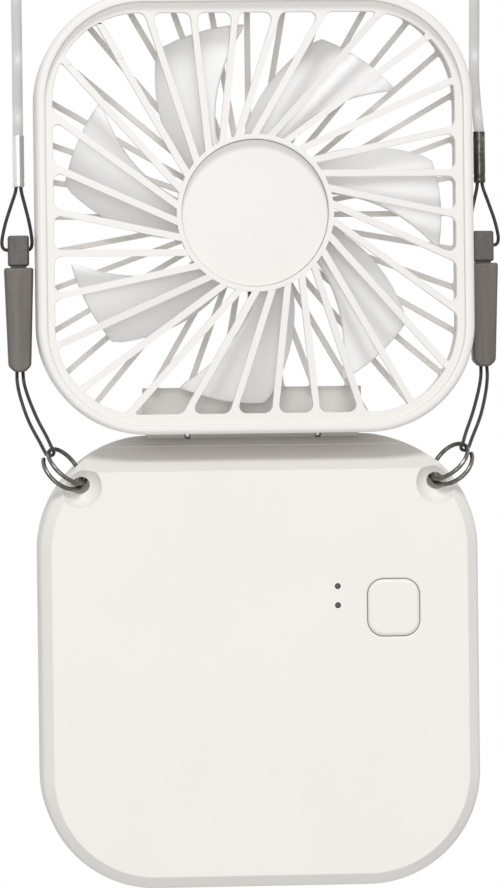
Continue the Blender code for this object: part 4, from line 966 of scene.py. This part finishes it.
# %% Sleeves
sleeves = []
for side, label in SIDES:
    half = (SLEEVE_HIGH - SLEEVE_LOW) / 2
    sleeve = turned("metal_sleeve_" + label, [
        (0.98, half - 1.6), (0.98, half), (1.06, half), (1.1, half - 0.06), (1.1, 1.6 - half),
        (1.04, 1.45 - half), (1.04, 1.2 - half), (1.1, 1.05 - half), (1.1, 0.3 - half),
        (1.04, 0.08 - half), (0.92, -half), (0.82, 0.04 - half), (0.82, 1.0 - half),
        (0, 1.0 - half), (0, half - 1.6)], 48)
    work_on(sleeve)
    sleeve.rotation_euler = (math.radians(-90), 0.0, 0.0)
    sleeve.location = (0.0, (SLEEVE_LOW + SLEEVE_HIGH) / 2, LANYARD_LEVEL)
    settle()
    hang(sleeve, "neck_loop", "crimp_sleeve_" + label, x=side * CORD_REACH[side], smooth=40)
    sleeves.append(sleeve)

# %% [markdown]
# ## Screws
# Four small screws hold the rear cover. Their pan heads sit deep in round seats and have a cross
# recess. One screw is turned and cut, and the others are copies of its mesh.

# %% Screws
screw = turned("case_screw", [(0, 8.15), (0.4, 8.15), (0.7, 7.7), (0.7, 1.15), (1.3, 1.15),
                              (1.3, 0.55), (1.2, 0.34), (0.95, 0.2), (0.5, 0.15), (0, 0.15)], 32)
cross = block("cross", -0.75, 0.75, -0.16, 0.16, -0.5, 0.6)
fuse(cross, block("cross_two", -0.16, 0.16, -0.75, 0.75, -0.5, 0.6))
carve(screw, cross)
screws = [screw] + [copy_of(screw, "case_screw") for i in range(3)]
for piece, (x, y), label in zip(screws, POSTS, ("lower_left", "upper_left", "lower_right",
                                                "upper_right")):
    named(piece, "case_screw_" + label)
    hang(piece, "fan_body", "body_screw_" + label, x=x, rise=y, smooth=35)

# %% [markdown]
# ## Finishes
# Almost everything that shows is warm white plastic, and the rest is satin metal, dark plastic and
# cord. Four effects come back in many of them: the fine grain of a mould, lighter edges, streaks,
# and the braid of a cord. The lighter edges are wear on the metals and a painted highlight on the
# clips, the streaks are the strokes of brushing or drawing on the metals and painted sheen on the
# clips, and the braid's gaps hold painted shade. Each is a node group with its own inputs, so a
# finish only chooses the values. The groups read Object coordinates, which are metres on the
# piece, and the braid reads the cord's own UV map, which runs round and along the cord.


# %% Building node groups
def new_group(name, inputs, outputs):
    """An empty node group with named sockets."""
    group = bpy.data.node_groups.new(name, "ShaderNodeTree")
    for socket, kind, value in inputs:
        item = group.interface.new_socket(name=socket, in_out="INPUT", socket_type=kind)
        item.default_value = value
    for socket, kind in outputs:
        group.interface.new_socket(name=socket, in_out="OUTPUT", socket_type=kind)
    return group, group.nodes.new("NodeGroupInput"), group.nodes.new("NodeGroupOutput")


def put(tree, kind, **sockets):
    """A node with some of its sockets filled in; underscores stand for spaces."""
    node = tree.nodes.new(kind)
    for socket, value in sockets.items():
        node.inputs[socket.replace("_", " ")].default_value = value
    return node


def sum_node(tree, operation, first=None, second=None, third=None):
    """A maths node fed by values or by other nodes' outputs."""
    node = tree.nodes.new("ShaderNodeMath")
    node.operation = operation
    for socket, feed in zip(node.inputs, (first, second, third)):
        if isinstance(feed, (int, float)):
            socket.default_value = feed
        elif feed is not None:
            tree.links.new(feed, socket)
    return node.outputs[0]


def blend_node(tree, share, first, second):
    """A colour between two colours."""
    node = tree.nodes.new("ShaderNodeMix")
    node.data_type = "RGBA"
    for index, feed in ((0, share), (6, first), (7, second)):
        socket = node.inputs[index]
        if isinstance(feed, tuple):
            socket.default_value = feed
        else:
            tree.links.new(feed, socket)
    return node.outputs[2]


def stretched(tree, value, low, high):
    """The value spread so that the range from low to high runs from 0 to 1."""
    node = put(tree, "ShaderNodeMapRange", From_Min=low, From_Max=high)
    tree.links.new(value, node.inputs["Value"])
    return node.outputs["Result"]


def give(tree, result, **feeds):
    """Links values to the group's outputs of the same names."""
    for socket, feed in feeds.items():
        tree.links.new(feed, result.inputs[socket])


def uneven_gloss(tree, given, texture):
    """The group's roughness, moved a little up and down by a texture."""
    swing = sum_node(tree, "SUBTRACT", texture.outputs["Fac"], 0.5)
    return sum_node(tree, "MULTIPLY_ADD", swing, given.outputs["Unevenness"],
                    given.outputs["Roughness"])


FLOAT, COLOUR = "NodeSocketFloat", "NodeSocketColor"


# %% Moulded grain
def make_moulded_grain():
    """Slow tone changes, fine grain and the change of gloss that goes with it."""
    tree, given, result = new_group(
        "moulded_grain",
        [("Colour", COLOUR, (0.8, 0.8, 0.8, 1)), ("Deep colour", COLOUR, (0.7, 0.7, 0.7, 1)),
         ("Grain scale", FLOAT, 5000.0), ("Mottle scale", FLOAT, 60.0), ("Roughness", FLOAT, 0.45),
         ("Unevenness", FLOAT, 0.1)],
        [("Colour", COLOUR), ("Roughness", FLOAT), ("Height", FLOAT)])
    place = tree.nodes.new("ShaderNodeTexCoord").outputs["Object"]
    grain = put(tree, "ShaderNodeTexNoise", Detail=2.0, Roughness=0.6)
    mottle = put(tree, "ShaderNodeTexNoise", Detail=3.0, Roughness=0.55)
    for node, scale in ((grain, "Grain scale"), (mottle, "Mottle scale")):
        tree.links.new(place, node.inputs["Vector"])
        tree.links.new(given.outputs[scale], node.inputs["Scale"])
    tone = blend_node(tree, stretched(tree, mottle.outputs["Fac"], 0.35, 0.65),
                      given.outputs["Colour"], given.outputs["Deep colour"])
    give(tree, result, Colour=tone, Roughness=uneven_gloss(tree, given, grain),
         Height=grain.outputs["Fac"])
    return tree


moulded_grain = make_moulded_grain()


# %% Edge wear and painted highlight
def make_wear_and_highlight_mask():
    """A mask that is white on sharp outward bends, broken up by noise: worn edges on the metals, a
    painted highlight on the clips.
    """
    tree, given, result = new_group(
        "edge_wear_and_highlight", [("Start", FLOAT, 0.52), ("Full", FLOAT, 0.60), ("Patch scale", FLOAT, 900.0)],
        [("Mask", FLOAT)])
    bend = tree.nodes.new("ShaderNodeNewGeometry").outputs["Pointiness"]
    spread = put(tree, "ShaderNodeMapRange")
    tree.links.new(bend, spread.inputs["Value"])
    tree.links.new(given.outputs["Start"], spread.inputs["From Min"])
    tree.links.new(given.outputs["Full"], spread.inputs["From Max"])
    patch = put(tree, "ShaderNodeTexNoise", Detail=4.0, Roughness=0.7)
    tree.links.new(tree.nodes.new("ShaderNodeTexCoord").outputs["Object"], patch.inputs["Vector"])
    tree.links.new(given.outputs["Patch scale"], patch.inputs["Scale"])
    ragged = stretched(tree, patch.outputs["Fac"], 0.38, 0.62)
    give(tree, result, Mask=sum_node(tree, "MULTIPLY", spread.outputs["Result"], ragged))
    return tree


edge_wear_and_highlight = make_wear_and_highlight_mask()


# %% Brushed strokes and painted sheen
def make_strokes_and_sheen():
    """Long thin streaks along the piece's z: brushing or drawing on the metals, painted sheen on
    the clips.
    """
    tree, given, result = new_group(
        "brushed_strokes_and_sheen",
        [("Colour", COLOUR, (0.6, 0.6, 0.6, 1)), ("Streak colour", COLOUR, (0.5, 0.5, 0.5, 1)),
         ("Across scale", FLOAT, 3000.0), ("Along scale", FLOAT, 120.0), ("Roughness", FLOAT, 0.3),
         ("Unevenness", FLOAT, 0.2)],
        [("Colour", COLOUR), ("Roughness", FLOAT), ("Height", FLOAT)])
    place = tree.nodes.new("ShaderNodeTexCoord").outputs["Object"]
    scale = tree.nodes.new("ShaderNodeCombineXYZ")
    for axis, name in enumerate(("Across scale", "Across scale", "Along scale")):
        tree.links.new(given.outputs[name], scale.inputs[axis])
    stretch = tree.nodes.new("ShaderNodeVectorMath")
    stretch.operation = "MULTIPLY"
    tree.links.new(place, stretch.inputs[0])
    tree.links.new(scale.outputs[0], stretch.inputs[1])
    streak = put(tree, "ShaderNodeTexNoise", Scale=1.0, Detail=3.0, Roughness=0.6)
    tree.links.new(stretch.outputs[0], streak.inputs["Vector"])
    tone = blend_node(tree, stretched(tree, streak.outputs["Fac"], 0.3, 0.7),
                      given.outputs["Colour"], given.outputs["Streak colour"])
    give(tree, result, Colour=tone, Roughness=uneven_gloss(tree, given, streak),
         Height=streak.outputs["Fac"])
    return tree


brushed_strokes_and_sheen = make_strokes_and_sheen()


# %% Braid with painted gap shade
def make_braid():
    """Two sets of yarns that wind round the cord in opposite directions, with painted shade between
    them.
    """
    tree, given, result = new_group(
        "braid",
        [("Colour", COLOUR, (0.8, 0.8, 0.8, 1)), ("Gap colour", COLOUR, (0.5, 0.5, 0.5, 1)),
         ("Yarns round", FLOAT, 4.0), ("Picks along", FLOAT, 90.0)],
        [("Colour", COLOUR), ("Height", FLOAT)])
    split = tree.nodes.new("ShaderNodeSeparateXYZ")
    tree.links.new(tree.nodes.new("ShaderNodeTexCoord").outputs["UV"], split.inputs[0])
    around = sum_node(tree, "MULTIPLY", split.outputs["X"], given.outputs["Yarns round"])
    along = sum_node(tree, "MULTIPLY", split.outputs["Y"], given.outputs["Picks along"])
    yarns = []
    for way in ("ADD", "SUBTRACT"):
        turn = sum_node(tree, "MULTIPLY", sum_node(tree, way, around, along), math.tau)
        yarns.append(sum_node(tree, "ABSOLUTE", sum_node(tree, "SINE", turn)))
    height = sum_node(tree, "MULTIPLY", *yarns)
    # Painted shade: the gaps between the yarns get the darker colour.
    tone = blend_node(tree, stretched(tree, height, 0.0, 0.35), given.outputs["Gap colour"],
                      given.outputs["Colour"])
    give(tree, result, Colour=tone, Height=height)
    return tree


braid = make_braid()


# %% Building a finish
def shade(value):
    return (*value, 1.0)


def start_finish(name, metallic=0.0, roughness=0.5):
    """A material with its shader's own plain values."""
    material = bpy.data.materials.new(name)
    material.use_nodes = True
    shader = material.node_tree.nodes["Principled BSDF"]
    shader.inputs["Metallic"].default_value = metallic
    shader.inputs["Roughness"].default_value = roughness
    return material, material.node_tree, shader


def adjust(material, **values):
    """Sets more of the shader's plain values; underscores stand for spaces."""
    shader = material.node_tree.nodes["Principled BSDF"]
    for socket, value in values.items():
        shader.inputs[socket.replace("_", " ")].default_value = value


def use_group(tree, group, **sockets):
    node = tree.nodes.new("ShaderNodeGroup")
    node.node_tree = group
    for socket, value in sockets.items():
        node.inputs[socket.replace("_", " ")].default_value = value
    return node


def dress(tree, shader, effect, strength, depth, colour=None):
    """Links an effect to the shader: its colour, its gloss and a bump of a depth in metres."""
    tree.links.new(colour or effect.outputs["Colour"], shader.inputs["Base Color"])
    if "Roughness" in effect.outputs:
        tree.links.new(effect.outputs["Roughness"], shader.inputs["Roughness"])
    bump = put(tree, "ShaderNodeBump", Strength=strength, Distance=depth)
    tree.links.new(effect.outputs["Height"], bump.inputs["Height"])
    tree.links.new(bump.outputs["Normal"], shader.inputs["Normal"])


def moulded(name, colour, deep, roughness, grain=5000.0, mottle=60.0, uneven=0.1, strength=0.35,
            depth=0.00001):
    """Moulded plastic: a grained skin with slow changes of tone."""
    material, tree, shader = start_finish(name, roughness=roughness)
    skin = use_group(tree, moulded_grain, Colour=shade(colour), Deep_colour=shade(deep),
                     Grain_scale=grain, Mottle_scale=mottle, Roughness=roughness, Unevenness=uneven)
    dress(tree, shader, skin, strength, depth)
    return material


def metal(name, colour, streak, roughness, across=3000.0, along=120.0, uneven=0.2, worn=None):
    """Drawn or brushed metal, with brighter worn edges if a worn colour is given."""
    material, tree, shader = start_finish(name, metallic=1.0, roughness=roughness)
    strokes = use_group(tree, brushed_strokes_and_sheen, Colour=shade(colour), Streak_colour=shade(streak),
                        Across_scale=across, Along_scale=along, Roughness=roughness,
                        Unevenness=uneven)
    tone = strokes.outputs["Colour"]
    if worn:
        wear = use_group(tree, edge_wear_and_highlight)
        tone = blend_node(tree, wear.outputs["Mask"], tone, shade(worn))
    dress(tree, shader, strokes, 0.3, 0.000008, tone)
    return material


def braided(name, yarn_colour, painted_gap_shade, yarns_round, picks_along, roughness, depth, sheen):
    """A braided cord, whose yarns stand up by the depth and whose gaps hold painted shade."""
    material, tree, shader = start_finish(name, roughness=roughness)
    yarn = use_group(tree, braid, Colour=shade(yarn_colour), Gap_colour=shade(painted_gap_shade),
                     Yarns_round=yarns_round, Picks_along=picks_along)
    dress(tree, shader, yarn, 0.6, depth)
    adjust(material, Sheen_Weight=sheen)
    return material


def paint(material, *pieces):
    """Gives pieces, or CAD nodes by name, one finish all over."""
    for piece in pieces:
        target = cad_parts[piece] if isinstance(piece, str) else piece
        if not target.material_slots:
            target.data.materials.append(material)
        for index in range(len(target.material_slots)):
            target.material_slots[index].material = material
    print(material.name, "on", len(pieces), "pieces")


# %% [markdown]
# ## White plastics
# The body and the button have the fine matt grain of a spark-eroded mould. The grille, the disc
# and the blades are smoother. The blades are thin enough to let a little light through, which
# subsurface scattering gives.

# %% White plastics
matt_white = moulded("matt_white_case", (0.865, 0.840, 0.803), (0.850, 0.825, 0.788), 0.48)
satin_white = moulded("satin_white_grille", (0.832, 0.810, 0.783), (0.820, 0.798, 0.770), 0.36,
                      grain=7000.0, strength=0.2)
blade_white = moulded("thin_white_blades", (0.950, 0.940, 0.925), (0.940, 0.929, 0.913), 0.34,
                      grain=7000.0, strength=0.2)
adjust(blade_white, Subsurface_Weight=0.7, Subsurface_Radius=(1.0, 0.9, 0.8),
       Subsurface_Scale=0.0016)
rear_white = moulded("matt_white_rear", (0.840, 0.816, 0.785), (0.825, 0.801, 0.770), 0.50)
paint(matt_white, front_cover, rear_cover, button)
paint(satin_white, front_frame, face_disc)
paint(blade_white, hub)
paint(rear_white, rear_shell)

# %% [markdown]
# ## Clips, rings, sleeves and screws
# The clips are satin grey-brown plastic; faint vertical streaks on them are painted sheen, and
# their edges are painted lighter as a painted highlight.
# The rings are dark spring wire. The two sleeves are one metal; the left one is painted bright
# silver as a painted highlight, and the right one is dark.

# %% Clips
def clip_plastic(name, colour, streak, edge_highlight_colour):
    """Satin plastic with vertical streaks of painted sheen and edges painted lighter as a painted
    highlight.
    """
    material, tree, shader = start_finish(name, roughness=0.42)
    # Painted sheen: darker vertical streaks stand for the satin sheen down the clip.
    painted_sheen_streaks = use_group(tree, brushed_strokes_and_sheen, Colour=shade(colour), Streak_colour=shade(streak),
                     Across_scale=900.0, Along_scale=60.0, Roughness=0.42, Unevenness=0.25)
    # Painted highlight: the clip's rounded edges are painted a lighter colour.
    painted_edge_highlight = use_group(tree, edge_wear_and_highlight, Start=0.53, Full=0.62, Patch_scale=1500.0)
    tone = blend_node(tree, painted_edge_highlight.outputs["Mask"], painted_sheen_streaks.outputs["Colour"], shade(edge_highlight_colour))
    dress(tree, shader, painted_sheen_streaks, 0.25, 0.00003, tone)
    return material


# The last colour of each clip finish is the painted highlight on its edges.
clip_brown = clip_plastic("satin_clip_brown", (0.118, 0.102, 0.088), (0.092, 0.080, 0.070),
                          (0.22, 0.20, 0.18))
catch_brown = clip_plastic("satin_catch_brown", (0.078, 0.070, 0.063), (0.062, 0.055, 0.050),
                           (0.17, 0.155, 0.14))
paint(clip_brown, *[piece for piece in clip_pieces if "case" in piece.name])
paint(catch_brown, *[piece for piece in clip_pieces if "catch" in piece.name])

# %% Metals
ring_steel = metal("dark_spring_wire", (0.165, 0.155, 0.140), (0.105, 0.098, 0.090), 0.26,
                   across=5000.0, along=5000.0, worn=(0.42, 0.40, 0.37))
# Painted highlight: the left sleeve is painted bright silver; the right one keeps the metal's dark
# colour.
lit_nickel_painted_highlight = metal("nickel_sleeve_painted_highlight", (0.80, 0.80, 0.79), (0.70, 0.70, 0.69), 0.34,
                      across=5000.0, along=150.0, uneven=0.15)
dark_nickel = metal("dark_nickel_sleeve", (0.078, 0.073, 0.064), (0.052, 0.048, 0.042), 0.30,
                    across=5000.0, along=150.0, worn=(0.32, 0.30, 0.27))
plain_steel = metal("plain_steel", (0.60, 0.60, 0.60), (0.50, 0.50, 0.50), 0.32,
                    worn=(0.78, 0.78, 0.78))
paint(ring_steel, *rings)
paint(lit_nickel_painted_highlight, sleeves[0])
paint(dark_nickel, sleeves[1])
paint(plain_steel, *screws, "hinge_pin_left", "hinge_pin_right", "hinge_washer_left",
      "hinge_washer_right", "rotor_yoke", "motor_shaft", "charging_socket")

# %% [markdown]
# ## Cords
# The neck cord is braided from bright yarns, and the string is a tight dark weave with a faint
# shine. Both have the braid's height as their bump, so their yarns stand up a little, and both
# have painted shade in the gaps between the yarns.

# %% Cords
# The second colour of each cord is the painted shade in the gaps between its yarns.
cord_white = braided("braided_white_cord", (0.90, 0.89, 0.865), (0.70, 0.69, 0.67), 4.0, 110.0,
                     roughness=0.68, depth=0.00008, sheen=0.25)
string_black = braided("woven_black_string", (0.030, 0.028, 0.026), (0.008, 0.008, 0.007), 2.0,
                       45.0, roughness=0.46, depth=0.00004, sheen=0.15)
paint(cord_white, neck_cord)
paint(string_black, *strings)

# %% [markdown]
# ## Inside parts
# The motor, the board and the cell show only through gaps or when the fan is taken apart. They
# keep their CAD shapes and get the finish of their real material: pressed steel, sintered
# bronze, enamelled copper, ferrite, a lacquered board and a foil pouch.

# %% Inside parts
bronze = moulded("sintered_bronze", (0.50, 0.34, 0.18), (0.36, 0.24, 0.12), 0.42, grain=9000.0,
                 mottle=4000.0, strength=0.8)
adjust(bronze, Metallic=1.0)
copper = metal("enamelled_copper", (0.74, 0.36, 0.17), (0.46, 0.19, 0.08), 0.30, across=400.0,
               along=9000.0)
ferrite = moulded("ferrite_grey", (0.09, 0.09, 0.10), (0.06, 0.06, 0.065), 0.55, grain=6000.0,
                  mottle=900.0, strength=0.6)
laminated = metal("laminated_steel", (0.42, 0.42, 0.43), (0.22, 0.22, 0.23), 0.38, across=60.0,
                  along=9000.0)
board_green = moulded("lacquered_board", (0.020, 0.170, 0.080), (0.010, 0.110, 0.050), 0.30,
                      grain=1500.0, mottle=500.0)
adjust(board_green, Coat_Weight=0.4)
foil_cell = moulded("foil_pouch", (0.62, 0.63, 0.65), (0.52, 0.53, 0.55), 0.34, grain=700.0,
                    mottle=150.0, strength=0.5, depth=0.0002)
adjust(foil_cell, Metallic=0.8)
black_plastic = moulded("black_plastic", (0.030, 0.030, 0.030), (0.022, 0.022, 0.022), 0.42)
# The light guide is given a dark colour, which makes the two small holes in front of it show as
# dark dots.
dark_guide = moulded("dark_light_guide", (0.060, 0.058, 0.055), (0.045, 0.044, 0.042), 0.22,
                       strength=0.1)
clear_led = moulded("clear_led", (0.86, 0.84, 0.74), (0.80, 0.77, 0.66), 0.20, mottle=1500.0,
                    strength=0.1)
paint(bronze, "motor_bush_front", "motor_bush_rear")
paint(copper, "motor_windings")
paint(ferrite, "magnet_ring")
paint(laminated, "motor_stator")
paint(board_green, "motor_board", "circuit_board")
paint(foil_cell, "battery")
paint(black_plastic, "motor_lead", "battery_lead_left", "battery_lead_right", "button_switch",
      "switch_plunger")
paint(dark_guide, "led_light_guide")
paint(clear_led, "status_led_upper", "status_led_lower")

# %% [markdown]
# ## Floor
# A pale floor lies well below the hanging fan.

# %% Floor
FLOOR_SIZE, FLOOR_LEVEL = 6.0, -0.90
floor_paint = moulded("floor_paint", (0.93, 0.93, 0.93), (0.90, 0.90, 0.90), 0.8, grain=200.0,
                      mottle=3.0, strength=0.1)
bpy.ops.object.select_all(action="DESELECT")
bpy.ops.mesh.primitive_plane_add(size=FLOOR_SIZE, location=(0.0, 0.0, FLOOR_LEVEL))
floor = bpy.context.object
floor.name = "floor"
floor.data.materials.append(floor_paint)
